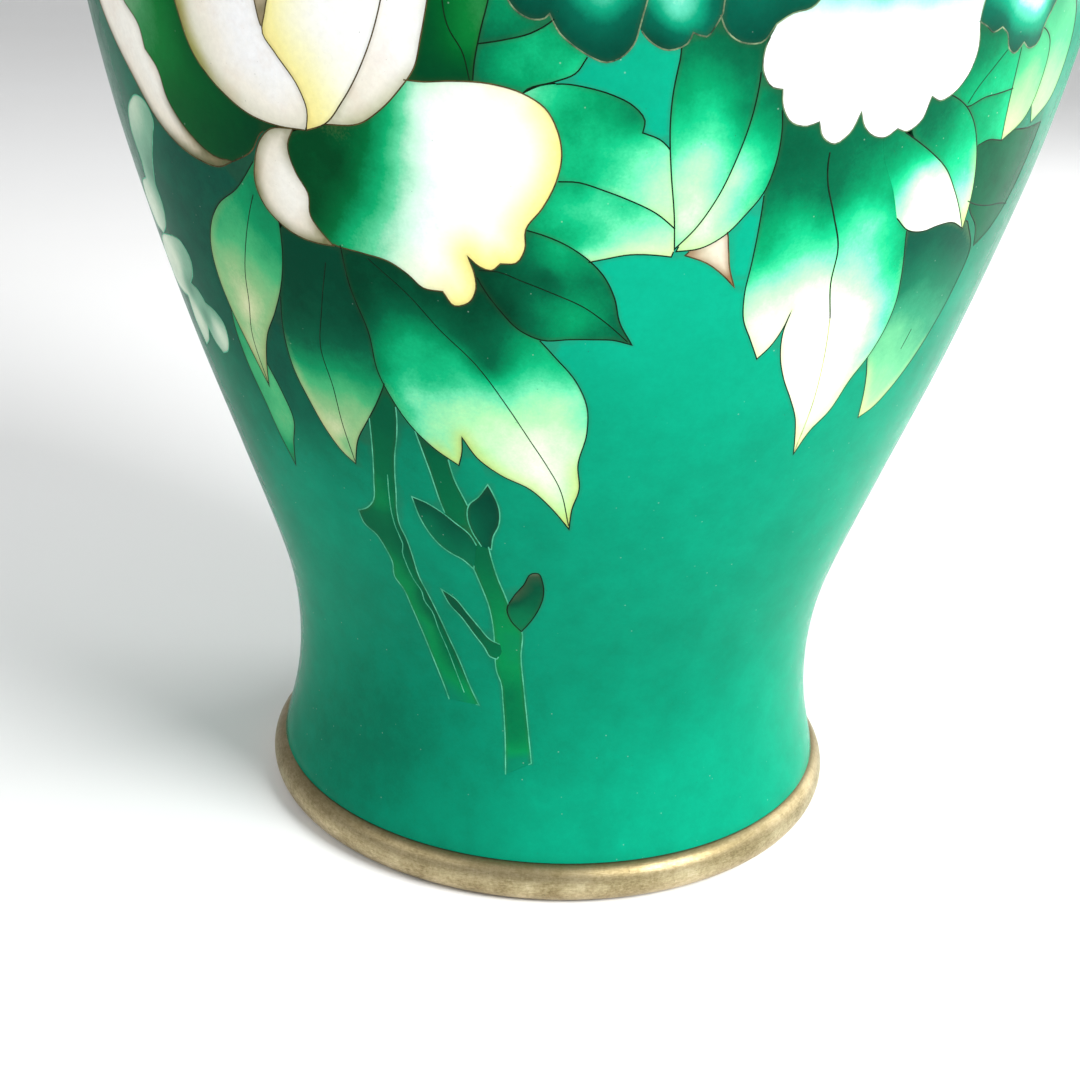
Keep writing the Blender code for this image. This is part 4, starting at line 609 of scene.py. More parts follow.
def radius(height):
    """Outer radius of the wall at a height, metres, on a smooth curve through the profile.  Takes arrays."""
    heights, radii = np.array(PROFILE, float).T
    slopes = np.empty(len(heights))
    slopes[1:-1] = (radii[2:] - radii[:-2]) / (heights[2:] - heights[:-2])
    slopes[0] = (radii[1] - radii[0]) / (heights[1] - heights[0])
    slopes[-1] = (radii[-1] - radii[-2]) / (heights[-1] - heights[-2])
    h = np.clip(np.asarray(height, float) / MM, heights[0], heights[-1])
    i = np.clip(np.searchsorted(heights, h, side="right") - 1, 0, len(heights) - 2)
    span = heights[i + 1] - heights[i]
    return MM * cubic((h - heights[i]) / span, span, radii[i], slopes[i], radii[i + 1], slopes[i + 1])


def on_wall(flat_points, depth=0.0):
    """Flat points (n, 2) wrapped on the wall, this deep under its outer surface, as an array (n, 3)."""
    turn = flat_points[:, 0] / FLAT_RADIUS
    r = radius(flat_points[:, 1]) - depth
    return np.column_stack([r * np.sin(turn), -r * np.cos(turn), flat_points[:, 1]])


def wall_normals(flat_points):
    """The wall's outward directions at flat points, as an array (n, 3)."""
    turn = flat_points[:, 0] / FLAT_RADIUS
    step = 0.2 * MM
    slope = (radius(flat_points[:, 1] + step) - radius(flat_points[:, 1] - step)) / (2 * step)
    normals = np.column_stack([np.sin(turn), -np.cos(turn), -slope])
    return normals / np.linalg.norm(normals, axis=1)[:, None]


def flat(places):
    """Places (turn, height in mm) unrolled to flat metres, as an array (n, 2)."""
    places = np.array([p[:2] for p in places], float)
    return np.column_stack([np.radians(places[:, 0]) * FLAT_RADIUS, places[:, 1] * MM])


def smooth_run(points, corner, closed, step):
    """A smooth curve through flat points, with corners where marked: (points, the stretch each lies on)."""
    count = len(points)
    run, stretch = [], []

    def tangent(k):
        before, here, after = points[k - 1], points[k], points[(k + 1) % count]
        d0, d1 = np.linalg.norm(here - before), np.linalg.norm(after - here)
        return ((after - here) * d0 / d1 + (here - before) * d1 / d0) / (d0 + d1)

    for i in range(count if closed else count - 1):
        j = (i + 1) % count
        p0, p1 = points[i], points[j]
        length = np.linalg.norm(p1 - p0)
        t0 = (p1 - p0) / length if corner[i] else tangent(i)
        t1 = (p1 - p0) / length if corner[j] else tangent(j)
        pieces = max(1, math.ceil(length / step))
        run += [cubic(k / pieces, length, p0, t0, p1, t1) for k in range(pieces)]
        stretch += [i] * pieces
    if not closed:
        run.append(points[-1])
        stretch.append(count - 2)
    return np.array(run), np.array(stretch)


def stretch_at(points):
    """How long a flat metre round the wall really is, at flat points."""
    return radius(points[:, 1]) / FLAT_RADIUS


def unit(vectors):
    """Directions, one in each row, at length 1."""
    return vectors / np.maximum(np.linalg.norm(vectors, axis=1), 1e-12)[:, None]


def sideways(points, closed):
    """Mitred directions to the right of a run of flat points, scaled to move by a real distance."""
    scale = stretch_at(points)
    real = np.column_stack([scale, np.ones(len(points))])
    before = unit((points - np.roll(points, 1, 0)) * real)
    after = unit((np.roll(points, -1, 0) - points) * real)
    if not closed:
        before[0], after[-1] = after[0], before[-1]
    right = unit(np.column_stack([before[:, 1] + after[:, 1], -before[:, 0] - after[:, 0]]))
    sharpest = 0.35  # a sharper corner is cut off
    mitre = np.maximum(sharpest, (right * np.column_stack([after[:, 1], -after[:, 0]])).sum(1))
    right /= mitre[:, None]
    right[:, 0] /= scale
    return right


def inside(points, polygon):
    """Which flat points lie inside a flat polygon."""
    a, b = polygon, np.roll(polygon, -1, 0)
    odd = np.zeros(len(points), bool)
    for (ax, ay), (bx, by) in zip(a, b):
        if ay != by:
            crosses = (ay > points[:, 1]) != (by > points[:, 1])
            odd ^= crosses & (points[:, 0] < ax + (points[:, 1] - ay) * (bx - ax) / (by - ay))
    return odd


def distance_to(points, run, closed=True):
    """Real distance on the wall from each flat point to a run of flat points."""
    if not len(points):
        return np.zeros(0)
    scale = stretch_at(points)[:, None]
    a = run if closed else run[:-1]
    b = np.roll(run, -1, 0) if closed else run[1:]
    ax, ay = (points[:, 0, None] - a[:, 0]) * scale, points[:, 1, None] - a[:, 1]
    bx, by = (b - a)[:, 0] * scale, (b - a)[:, 1]
    share = np.clip((ax * bx + ay * by) / np.maximum(bx**2 + by**2, 1e-16), 0, 1)
    return np.sqrt(((ax - share * bx) ** 2 + (ay - share * by) ** 2).min(1))


def near(points, run, reach):
    """Which flat points lie in a run's bounding box, widened by a real distance."""
    low, high = run.min(0) - reach * FLAT_PER_REAL, run.max(0) + reach * FLAT_PER_REAL
    return ((points > low) & (points < high)).all(1)


def distances(points, at):
    """Real distances on the wall between flat points (n) and places (m), in mm, as an array (n, m)."""
    whole = 2 * math.pi * FLAT_RADIUS
    dx = points[:, 0, None] - at[:, 0]
    dx -= whole * np.round(dx / whole)
    return np.hypot(dx * stretch_at(at), points[:, 1, None] - at[:, 1]) / MM


def blended(points, places, softness):
    """A value at each flat point, averaged between places (turn, height, value) by their closeness."""
    value = np.array([p[2] for p in places], float)
    weight = 1 / (distances(points, flat(places)) ** 2 + softness**2) ** 2
    return (weight * value).sum(1) / weight.sum(1)


def flowing(points, places):
    """A value at each flat point that passes evenly through the places (turn, height, value)."""
    at = flat(places)
    value = np.array([p[2] for p in places], float)
    count = len(at)
    system = np.ones((count + 1, count + 1))
    system[:count, :count] = np.hypot(distances(at, at), 1.0)
    system[count, count] = 0
    factors = np.linalg.solve(system, np.append(value, 0))
    return np.hypot(distances(points, at), 1.0) @ factors[:count] + factors[count]


# ---------------------------------------------------------------- meshes


def triangulated(sheet, holes, grid, clearance):
    """Flat points and triangles of a sheet without its holes, through the grid points inside it."""
    free = np.ones(len(grid), bool)
    for run in (sheet, *holes):
        close = near(grid, run, clearance)
        free[close] &= distance_to(grid[close], run) > clearance
    points, faces = list(sheet), [list(range(len(sheet)))]
    for hole in holes:
        faces.append(list(range(len(points), len(points) + len(hole))))
        points += list(hole)
    points += list(grid[free])
    made = delaunay_2d_cdt([Vector(p) for p in points], [], faces, 1, 1e-7)
    verts, tris, origins = made[0], made[2], made[5]
    kept = [t for t, origin in zip(tris, origins) if 0 in origin and not any(k > 0 for k in origin)]
    return np.array([v[:] for v in verts]), np.array(kept)


def largest_body(tris):
    """The triangles of the largest stretch that holds together by edges."""
    at_edge = {}
    for n, t in enumerate(tris):
        for a, b in ((t[0], t[1]), (t[1], t[2]), (t[2], t[0])):
            at_edge.setdefault((min(a, b), max(a, b)), []).append(n)
    body_of = np.full(len(tris), -1)
    sizes = []
    for n in range(len(tris)):
        if body_of[n] >= 0:
            continue
        body_of[n] = len(sizes)
        reached = [n]
        for m in reached:
            t = tris[m]
            for a, b in ((t[0], t[1]), (t[1], t[2]), (t[2], t[0])):
                for other in at_edge[(min(a, b), max(a, b))]:
                    if body_of[other] < 0:
                        body_of[other] = len(sizes)
                        reached.append(other)
        sizes.append(len(reached))
    return tris[body_of == int(np.argmax(sizes))]


def new_piece(name, verts, faces, look, normals=None):
    """A mesh object that rides on the vase.  normals gives one direction for each corner of each face."""
    mesh = bpy.data.meshes.new(name)
    mesh.from_pydata([tuple(v) for v in verts], [], [tuple(f) for f in faces])
    mesh.validate()
    mesh.shade_smooth()
    if normals is not None:
        mesh.normals_split_custom_set([tuple(n) for n in normals])
    mesh.materials.append(look)
    obj = bpy.data.objects.new(name, mesh)
    bpy.context.scene.collection.objects.link(obj)
    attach(obj, "root")
    return obj


def stands_for(node):
    """The piece replaces a CAD node, which is hidden."""
    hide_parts(node)


def slab(name, flat_points, tris, look):
    """An inlay: the flat triangulated sheet wrapped on the wall and closed ENAMEL deep, with true normals."""
    start, whole = math.radians(SEAM) * FLAT_RADIUS, 2 * math.pi * FLAT_RADIUS
    x = np.where(np.abs(flat_points[:, 0] - start - whole) < 1e-6, start, flat_points[:, 0])
    _, first, index = np.unique(np.round(np.column_stack([x, flat_points[:, 1]]), 7), axis=0,
                                return_index=True, return_inverse=True)
    tris = index.reshape(-1)[tris]
    used, tris = np.unique(tris, return_inverse=True)
    tris = tris.reshape(-1, 3)
    placed = flat_points[first][used]
    outer, inner = on_wall(placed), on_wall(placed, ENAMEL)
    out = wall_normals(placed)
    facing = np.cross(outer[tris[:, 1]] - outer[tris[:, 0]], outer[tris[:, 2]] - outer[tris[:, 0]])
    turned = (facing * out[tris[:, 0]]).sum(1) < 0
    tris[turned] = tris[turned][:, ::-1]
    edges = np.concatenate([tris[:, [0, 1]], tris[:, [1, 2]], tris[:, [2, 0]]])
    known = set(map(tuple, edges))
    rim = [(a, b) for a, b in map(tuple, edges) if (b, a) not in known]
    count = len(placed)
    faces = [tuple(t) for t in tris] + [tuple(t) for t in tris[:, ::-1] + count]
    faces += [(b, a, a + count, b + count) for a, b in rim]
    verts = np.concatenate([outer, inner])
    side = [np.cross(verts[a] - verts[b], verts[b + count] - verts[b]) for a, b in rim]
    normals = list(out[tris].reshape(-1, 3)) + list(-out[tris[:, ::-1]].reshape(-1, 3))
    for direction in side:
        normals += [direction / max(np.linalg.norm(direction), 1e-15)] * 4
    obj = new_piece(name, verts, faces, look, normals)
    return obj, placed


def add_wire(name, runs, look, width=WIRE):
    """A wire on edge in the wall along runs of flat points (points, closed), with a rounded top."""
    verts, faces = [], []
    foot, shoulder = -0.9 * ENAMEL, 0.75 * PROUD
    section = [(-1, foot), (-1, 0.0), (-0.62, shoulder), (0, PROUD), (0.62, shoulder), (1, 0.0), (1, foot)]
    for points, closed in runs:
        right = sideways(points, closed)
        base, count, size = len(verts), len(points), len(section)
        rings = [on_wall(points + right * (side * width / 2), -high) for side, high in section]
        verts += list(np.stack(rings, 1).reshape(-1, 3))
        for i in range(count if closed else count - 1):
            a, b = base + i * size, base + (i + 1) % count * size
            for k in range(size):
                m = (k + 1) % size
                faces.append((a + k, b + k, b + m, a + m))
        if not closed:
            faces.append(tuple(base + k for k in range(size)))
            faces.append(tuple(base + (count - 1) * size + k for k in reversed(range(size))))
    obj = new_piece(f"wire_{name}", verts, faces, look)
    obj.data.set_sharp_from_angle(angle=math.radians(50))


def turned(name, node, profile, look, steps):
    """A round piece in a CAD node's stead: a closed profile (radius, height) swept about the axis."""
    verts, faces = [], []
    count = len(profile)
    for i in range(steps):
        angle = 2 * math.pi * i / steps
        verts += [(r * math.sin(angle), -r * math.cos(angle), z) for r, z in profile]
    for i in range(steps):
        a, b = i * count, (i + 1) % steps * count
        for k in range(count):
            m = (k + 1) % count
            faces.append((a + k, b + k, b + m, a + m))
    obj = new_piece(name, verts, faces, look)
    obj.data.set_sharp_from_angle(angle=math.radians(40))
    stands_for(node)


# ---------------------------------------------------------------- materials


def linear(hex_colour):
    """A hex colour as linear values, with alpha."""
    channels = [int(hex_colour[i:i + 2], 16) / 255 for i in (0, 2, 4)]
    return [c / 12.92 if c <= 0.04045 else ((c + 0.055) / 1.055) ** 2.4 for c in channels] + [1]


def glaze(hex_colour):
    """The reflectance of an enamel that looks like this hex colour in full light: dark tones held back."""
    return [c * (0.62 + 0.30 * c) for c in linear(hex_colour)[:3]] + [1]


class Look:
    """A material under construction: short calls that add linked nodes to it."""

    def __init__(self, name):
        self.material = bpy.data.materials.new(name)
        self.material.use_nodes = True
        self.nodes, self.links = self.material.node_tree.nodes, self.material.node_tree.links
        self.shader = self.nodes["Principled BSDF"]
        self.place = self.nodes.new("ShaderNodeTexCoord").outputs["Object"]

    def feed(self, socket, value):
        if isinstance(value, bpy.types.NodeSocket):
            self.links.new(value, socket)
        else:
            socket.default_value = value

    def add(self, kind, inputs, **settings):
        node = self.nodes.new(kind)
        for key, value in settings.items():
            setattr(node, key, value)
        for key, value in inputs.items():
            self.feed(node.inputs[key], value)
        return node

    def noise(self, size, detail=3.0, roughness=0.55, stretch=None):
        """Noise with features about this large, in metres, from 0 to 1."""
        place = self.place
        if stretch:
            place = self.add("ShaderNodeVectorMath", {0: place, 1: stretch}, operation="MULTIPLY").outputs[0]
        node = self.add("ShaderNodeTexNoise", {"Vector": place, "Scale": 1 / size, "Detail": detail,
                                               "Roughness": roughness})
        return node.outputs["Fac"]

    def specks(self, spacing, share):
        """1 at the middle of tiny specks this far apart, of a radius that is this share of the spacing."""
        cells = self.add("ShaderNodeTexVoronoi", {"Vector": self.place, "Scale": 1 / spacing})
        return self.between(cells.outputs["Distance"], share, share * 0.35, 0, 1)

    def height(self):
        return self.add("ShaderNodeSeparateXYZ", {0: self.place}).outputs["Z"]

    def attribute(self, name):
        return self.add("ShaderNodeAttribute", {}, attribute_name=name).outputs["Fac"]

    def math(self, operation, a, b=0.0):
        return self.add("ShaderNodeMath", {0: a, 1: b}, operation=operation).outputs[0]

    def between(self, value, from_low, from_high, to_low, to_high):
        node = self.add("ShaderNodeMapRange", {"Value": value, "From Min": from_low, "From Max": from_high,
                                               "To Min": to_low, "To Max": to_high})
        return node.outputs["Result"]

    def ramp(self, value, stops):
        node = self.add("ShaderNodeValToRGB", {"Fac": value})
        elements = node.color_ramp.elements
        while len(elements) < len(stops):
            elements.new(0.5)
        for element, (position, _) in zip(elements, stops):
            element.position = position
        for element, (_, colour) in zip(elements, stops):
            element.color = colour
        return node.outputs["Color"]

    def mix(self, share, a, b, blend="MIX"):
        node = self.add("ShaderNodeMix", {}, data_type="RGBA", blend_type=blend)
        self.feed(node.inputs["Factor"], share)
        self.feed(node.inputs[6], a)
        self.feed(node.inputs[7], b)
        return node.outputs[2]

    def relief(self, *layers):
        """Bumps laid over each other: (height from 0 to 1, real height of 1, strength) each."""
        surface = {}
        for height, distance, strength in layers:
            inputs = {"Height": height, "Distance": distance, "Strength": strength, **surface}
            surface = {"Normal": self.add("ShaderNodeBump", inputs).outputs["Normal"]}
        return surface["Normal"]

    def finish(self, **sockets):
        for name, value in sockets.items():
            self.feed(self.shader.inputs[name.replace("_", " ")], value)
        return self.material


def enamel(name, stops, rim_colour, flecked):
    """Polished enamel: grains of neighbouring shades mixed where colours meet, pits, and soft waviness."""
    look = Look(name)
    grain = look.noise(0.35 * MM, 2.0, 0.6)
    cloud = look.noise(5 * MM, 4.0, 0.6)
    shade = look.math("ADD", look.attribute("shade"), look.between(grain, 0.25, 0.75, -0.018, 0.018))
    shade = look.math("ADD", shade, look.between(cloud, 0.3, 0.7, -0.045, 0.045))
    mottle = look.noise(0.9 * MM, 3.0, 0.7)
    colour = look.ramp(shade, [(position, glaze(c)) for position, c in stops])
    rim = look.math("ADD", look.attribute("rim"), look.between(grain, 0.25, 0.75, -0.02, 0.02))
    colour = look.mix(look.between(rim, 0.04, 1, 0, 1), colour, glaze(rim_colour))
    # a faint dark line where the enamel meets a wire, tarnish with painted shade of the wire, tiny pale
    # specks and darker pits
    stain_and_wire_shade = look.between(look.attribute("edge"), 0.0, 0.6, 0.3, 0)
    colour = look.mix(look.math("MULTIPLY", stain_and_wire_shade, look.between(cloud, 0.3, 0.7, 0.4, 1.0)), colour,
                      (0.04, 0.05, 0.016, 1))
    pale = look.specks(2.5 * MM, 0.055)
    pits = look.specks(2.3 * MM, 0.045)
    colour = look.mix(look.math("MULTIPLY", pale, 0.28), colour, (0.55, 0.72, 0.62, 1))
    colour = look.mix(look.math("MULTIPLY", pits, 0.45), colour, (0.02, 0.06, 0.04, 1))
    mottling = look.ramp(mottle, [(0.3, (0.92, 0.92, 0.92, 1)), (0.7, (1, 1, 1, 1))])
    colour = look.mix(1.0, colour, mottling, "MULTIPLY")
    if flecked:  # pale enamels show a tan mottling and rust-brown dust
        colour = look.mix(look.between(cloud, 0.5, 0.72, 0, 0.22), colour, linear("C9A888"))
        colour = look.mix(look.math("MULTIPLY", look.specks(1.1 * MM, 0.06), 0.4), colour, linear("6B4A2C"))
    roughness = look.between(look.noise(2.2 * MM, 3.0), 0.3, 0.7, 0.17, 0.27)
    sunk = look.math("MULTIPLY", pits, -1.0)
    surface = look.relief((cloud, 0.05 * MM, 0.5), (grain, 0.006 * MM, 0.6), (sunk, 0.04 * MM, 0.8))
    return look.finish(Base_Color=colour, Roughness=roughness, Normal=surface, Specular_IOR_Level=0.02)


def lining_enamel(name, dark, light):
    """Counter-enamel on hidden sides: mottled, with orange-peel waviness and pinholes."""
    look = Look(name)
    cloud = look.noise(4 * MM, 5.0, 0.65)
    grain = look.noise(0.5 * MM, 2.0)
    colour = look.ramp(cloud, [(0.3, glaze(dark)), (0.7, glaze(light))])
    pits = look.specks(2.6 * MM, 0.08)
    colour = look.mix(look.math("MULTIPLY", pits, 0.5), colour, (0.01, 0.03, 0.03, 1))
    surface = look.relief((cloud, 0.25 * MM, 0.7), (look.math("MULTIPLY", pits, -1.0), 0.1 * MM, 0.8))
    return look.finish(Base_Color=colour, Roughness=look.between(grain, 0.3, 0.7, 0.22, 0.36), Normal=surface,
                       Coat_Weight=0.3, Coat_Roughness=0.12)


def wire_metal(name, dark, light, metallic):
    """Wire ground flush with the enamel: tarnish in patches, brighter where it was rubbed."""
    look = Look(name)
    patches = look.noise(2.4 * MM, 4.0, 0.7)
    fine = look.noise(0.25 * MM, 2.0)
    colour = look.ramp(patches, [(0.35, linear(dark)), (0.68, linear(light))])
    roughness = look.between(patches, 0.3, 0.7, 0.5, 0.34)
    return look.finish(Base_Color=colour, Metallic=metallic, Roughness=roughness,
                       Normal=look.relief((fine, 0.02 * MM, 0.6)), Specular_IOR_Level=0.04)


def tarnished_silver():
    """Old silver plate: warm satin, cloudy tarnish, fine rubbing marks round the ring, pits and dents."""
    look = Look("tarnished_silver")
    cloud = look.noise(7 * MM, 5.0, 0.62)
    fine = look.noise(0.6 * MM, 4.0, 0.7)
    rubbed = look.noise(1.2 * MM, 3.0, 0.6, (1, 1, 7))
    tone = look.math("ADD", look.math("MULTIPLY", cloud, 0.45), look.math("MULTIPLY", fine, 0.3))
    tone = look.math("ADD", tone, look.math("MULTIPLY", rubbed, 0.25))
    colour = look.ramp(tone, [(0.34, linear("70603E")), (0.46, linear("9C8C68")), (0.58, linear("BEAE8A")),
                              (0.74, linear("DFD3B8"))])
    pits = look.specks(1.7 * MM, 0.1)
    colour = look.mix(look.math("MULTIPLY", pits, 0.45), colour, linear("4A3C2A"))
    # a painted olive reflection of the green enamel on the upper part of the foot ring, strongest where it
    # meets the wall
    corner = look.between(look.height(), 3.6 * MM, 6.4 * MM, 0, 0.75)
    corner = look.math("MULTIPLY", corner, look.between(look.height(), 8 * MM, 10 * MM, 1, 0))
    colour = look.mix(corner, colour, linear("6E6444"))
    roughness = look.between(tone, 0.4, 0.7, 0.48, 0.34)
    dents, sunk = look.noise(9 * MM, 2.0), look.math("MULTIPLY", pits, -1.0)
    surface = look.relief((dents, 0.35 * MM, 0.5), (fine, 0.03 * MM, 0.7), (rubbed, 0.03 * MM, 0.5),
                          (sunk, 0.07 * MM, 0.8))
    return look.finish(Base_Color=colour, Metallic=0.92, Roughness=roughness, Normal=surface)


def spun_copper():
    """Annealed sheet copper with spinning lines and brown oxide."""
    look = Look("spun_copper")
    lines = look.noise(0.8 * MM, 3.0, 0.6, (0.1, 0.1, 6))
    cloud = look.noise(8 * MM, 4.0, 0.6)
    tone = look.math("ADD", look.math("MULTIPLY", cloud, 0.7), look.math("MULTIPLY", lines, 0.3))
    colour = look.ramp(tone, [(0.35, linear("6B3520")), (0.55, linear("B56A42")), (0.75, linear("DD9A6C"))])
    return look.finish(Base_Color=colour, Metallic=1.0, Roughness=look.between(cloud, 0.3, 0.7, 0.5, 0.34),
                       Normal=look.relief((lines, 0.03 * MM, 0.6)))


def painted_floor(name, tone):
    """Matt paint of a pale tone, a little warmer in places."""
    look = Look(name)
    cloud = look.noise(0.25, 3.0)
    grain = look.noise(0.8 * MM, 2.0)
    warm, cool = (tone * 0.985, tone * 0.98, tone * 0.97, 1), (tone, tone, tone * 0.995, 1)
    colour = look.ramp(cloud, [(0.3, warm), (0.7, cool)])
    return look.finish(Base_Color=colour, Roughness=0.7, Normal=look.relief((grain, 0.02 * MM, 0.3)))


# ---------------------------------------------------------------- the vase


def shaded(obj, placed, node, outlines, own):
    """Writes the inlay's shade, its rim strength and its distance from the wires (mm) on its vertices."""
    _, places = SHADES[node]
    edge = np.full(len(placed), 9.0 * MM)
    for run in outlines:
        close = near(placed, run, 3 * MM)
        edge[close] = np.minimum(edge[close], distance_to(placed[close], run, False))
    # on the ground and its patch this shade is painted light and shade
    shade = blended(placed, places, 6.0) if "ground" in node else np.clip(flowing(placed, places), 0, 1)
    rim = np.zeros(len(placed))
    if node in RIMS:
        _, reach, strengths = RIMS[node]
        to_own = distance_to(placed, own)
        rim = blended(placed, strengths, 1.5) * np.exp(-(to_own / (reach * MM)) ** 2)
    for name, values in (("shade", shade), ("rim", rim), ("edge", edge / MM)):
        attribute = obj.data.attributes.new(name, "FLOAT", "POINT")
        attribute.data.foreach_set("value", np.asarray(np.concatenate([values, values]), np.float32))


def enamel_of(node):
    """The enamel of a node, made once for each pair of ramp and rim colour."""
    ramp_name = SHADES[node][0]
    rim_colour = RIMS[node][0] if node in RIMS else PLAIN_RIM
    key = (ramp_name, rim_colour)
    if key not in enamels:
        enamels[key] = enamel(f"enamel_{ramp_name}_{len(enamels)}", RAMPS[ramp_name], rim_colour,
                              ramp_name in ("white", "cream"))
    return enamels[key]


def add_inlay(name, node, points, tris, wires, own):
    """A shaded inlay in a CAD node's stead, from the triangles of its flat sheet."""
    obj, placed = slab(name, points, largest_body(tris), enamel_of(node))
    shaded(obj, placed, node, wires, own)
    stands_for(node)


def build_ground(runs, grown, wired):
    """The ground round the whole wall, with every cell as a hole."""
    bottom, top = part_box("enamel_ground")
    low, high = bottom.z - 0.3 * MM, top.z  # the ground's enamel runs down to the ring
    columns = np.radians(np.linspace(SEAM, SEAM + 360, 181)) * FLAT_RADIUS
    rows = np.linspace(low, high, 121)
    sheet = np.array([(x, low) for x in columns] + [(columns[-1], h) for h in rows[1:-1]]
                     + [(x, high) for x in columns[::-1]] + [(columns[0], h) for h in rows[-2:0:-1]])
    grid = np.array([(x, h) for x in columns[1:-1] for h in rows[1:-1]])
    taken = np.zeros(len(grid), bool)
    for run in runs.values():
        close = near(grid, run, 0)
        taken[close] |= inside(grid[close], run)
    points, tris = triangulated(sheet, list(grown.values()), grid[~taken], 0.6 * MM)
    add_inlay("ground", "enamel_ground", points, tris, sum(wired.values(), []), None)


def cell_sheet(run, above, grown):
    """The flat points and triangles of one cell, without what the cells above it cover."""
    xs = np.arange(run[:, 0].min(), run[:, 0].max(), GRID_STEP)
    hs = np.arange(run[:, 1].min(), run[:, 1].max(), GRID_STEP)
    grid = np.array([(x + (j % 2) * GRID_STEP / 2, h) for j, h in enumerate(hs) for x in xs])
    grid = grid[inside(grid, run)]
    for other in above:
        grid = grid[~inside(grid, grown[other])]
    return triangulated(run, [grown[other] for other in above], grid, 0.3 * MM)


def build_inlays():
    """The ground and every cell of the decoration, each in its CAD node's stead, and the wires between."""
    outlines = {}
    for name, outline in CELLS:
        run, stretch = smooth_run(flat(outline), [len(p) > 2 for p in outline], True, RUN_STEP)
        area = run[:, 0] @ np.roll(run[:, 1], -1) - run[:, 1] @ np.roll(run[:, 0], -1)
        outlines[name] = (run, stretch) if area > 0 else (run[::-1], stretch[::-1])
    runs = {name: run for name, (run, _) in outlines.items()}
    wired = {name: with_wire(name, *outline) for name, outline in outlines.items()}
    grown = {name: run + sideways(run, True) * SLIT for name, run in runs.items()}
    shrunk = {name: run - sideways(run, True) * SLIT for name, run in runs.items()}
    build_ground(runs, grown, wired)
    names = list(runs)
    for k, name in enumerate(names):
        above = [other for other in names[:k] if overlaps(runs[other], shrunk[name])]
        points, tris = cell_sheet(shrunk[name], above, grown)
        wires = sum((wired[other] for other in (name, *above)), [])
        add_inlay(f"inlay_{name}", name, points, tris, wires, runs[name])
        build_outline_wire(name, outlines[name], [runs[other] for other in above])


def with_wire(name, run, stretch):
    """The stretches of a closed outline that carry a wire, as open runs."""
    bare = np.isin(stretch, OPEN_ENDS.get(name, ()))
    if bare.all():
        return []
    if not bare.any():
        return [np.concatenate([run, run[:1]])]
    start = int(np.argmax(bare))
    run, bare = np.roll(run, -start, 0), np.roll(bare, -start)
    starts = np.flatnonzero(bare[:-1] & ~bare[1:]) + 1
    return [run[first:first + 1 + int(np.argmax(np.append(bare[first:], True)))] for first in starts]


def overlaps(a, b):
    """Whether the bounding boxes of two flat runs overlap."""
    return (a.max(0) > b.min(0)).all() and (a.min(0) < b.max(0)).all()


def build_outline_wire(name, outline, above):
    """The wire along the part of a cell's outline that no higher cell covers."""
    run, stretch = outline
    hidden = np.zeros(len(run), bool)
    for other in above:
        close = near(run, other, 1 * MM)
        hidden[close] |= inside(run[close], other) | (distance_to(run[close], other) < 0.32 * MM)
    hidden |= np.isin(stretch, OPEN_ENDS.get(name, ()))
    look = next(look for start, look in WIRE_LOOKS if name.startswith(start))
    if not hidden.any():
        pieces = [(run, True)]
    else:
        start = int(np.argmax(hidden))
        order = np.roll(np.arange(len(run)), -start)
        pieces, current = [], []
        for i in order:
            if hidden[i]:
                if len(current) > 3:
                    pieces.append((run[[current[0] - 1, *current, i]], False))
                current = []
            else:
                current.append(i)
        if len(current) > 3:
            pieces.append((run[[current[0] - 1, *current, order[0]]], False))
    if pieces:
        add_wire(name, pieces, wire_looks[look])


def add_vein(name, places, look, width):
    """A single wire through places (turn, height)."""
    ends = [i in (0, len(places) - 1) for i in range(len(places))]
    run, _ = smooth_run(flat(places), ends, False, RIB_STEP)
    add_wire(name, [(run, False)], wire_looks[look], width)


def build_veins():
    """The wires inside the cells, and those that part the lobes of the back flower, from notch to heart."""
    for name, places in VEINS.items():
        look = next(look for start, look in VEIN_LOOKS if name.startswith(start))
        add_vein(name, places, look, BROAD_RIB if name.startswith("rib_right") else RIB)
    lobes, turn, height, wide, tall = 8, 178, 148, 20, 24
    for i in range(lobes):
        angle = 2 * math.pi * i / lobes + math.pi / 2
        places = []
        for reach, bend in ((0.87, 0), (0.72, 0.1), (0.56, 0.1), (0.42, 0)):
            across, up = reach * wide * math.cos(angle + bend), reach * tall * math.sin(angle + bend)
            places.append((turn + across, height + up))
        add_vein(f"back_lobe_{i + 1}", places, "dark", 0.8 * WIRE)


def arc(centre, size, start, stop, count):
    """Points (radius, height) on an oval arc, degrees from start to stop."""
    angles = np.radians(np.linspace(start, stop, count))
    return [(centre[0] + size[0] * math.cos(a), centre[1] + size[1] * math.sin(a)) for a in angles]


def build_rings():
    """Foot ring and mouth ring, as turned silver with rolled edges."""
    silver = tarnished_silver()
    low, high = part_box("foot_ring")
    outer, top = high.x, high.z
    inner = outer - 6.5 * MM
    edge, bulge, half = 0.6 * MM, 2.7 * MM, 3.3 * MM
    foot = arc((inner + edge, edge), (edge, edge), 180, 270, 5)
    foot += arc((outer - bulge, half), (bulge, half), -84, 82, 28)
    foot += [(inner + edge, top), (inner, top - edge)]
    turned("foot_ring_silver", "foot_ring", foot, silver, 300)
    low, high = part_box("mouth_ring")
    middle, half = (low.z + high.z) / 2, (high.z - low.z) / 2
    bulge = 2.9 * MM
    bead = arc((high.x - bulge, middle), (bulge, half), -180, 170, 36)
    turned("mouth_ring_silver", "mouth_ring", bead, silver, 240)


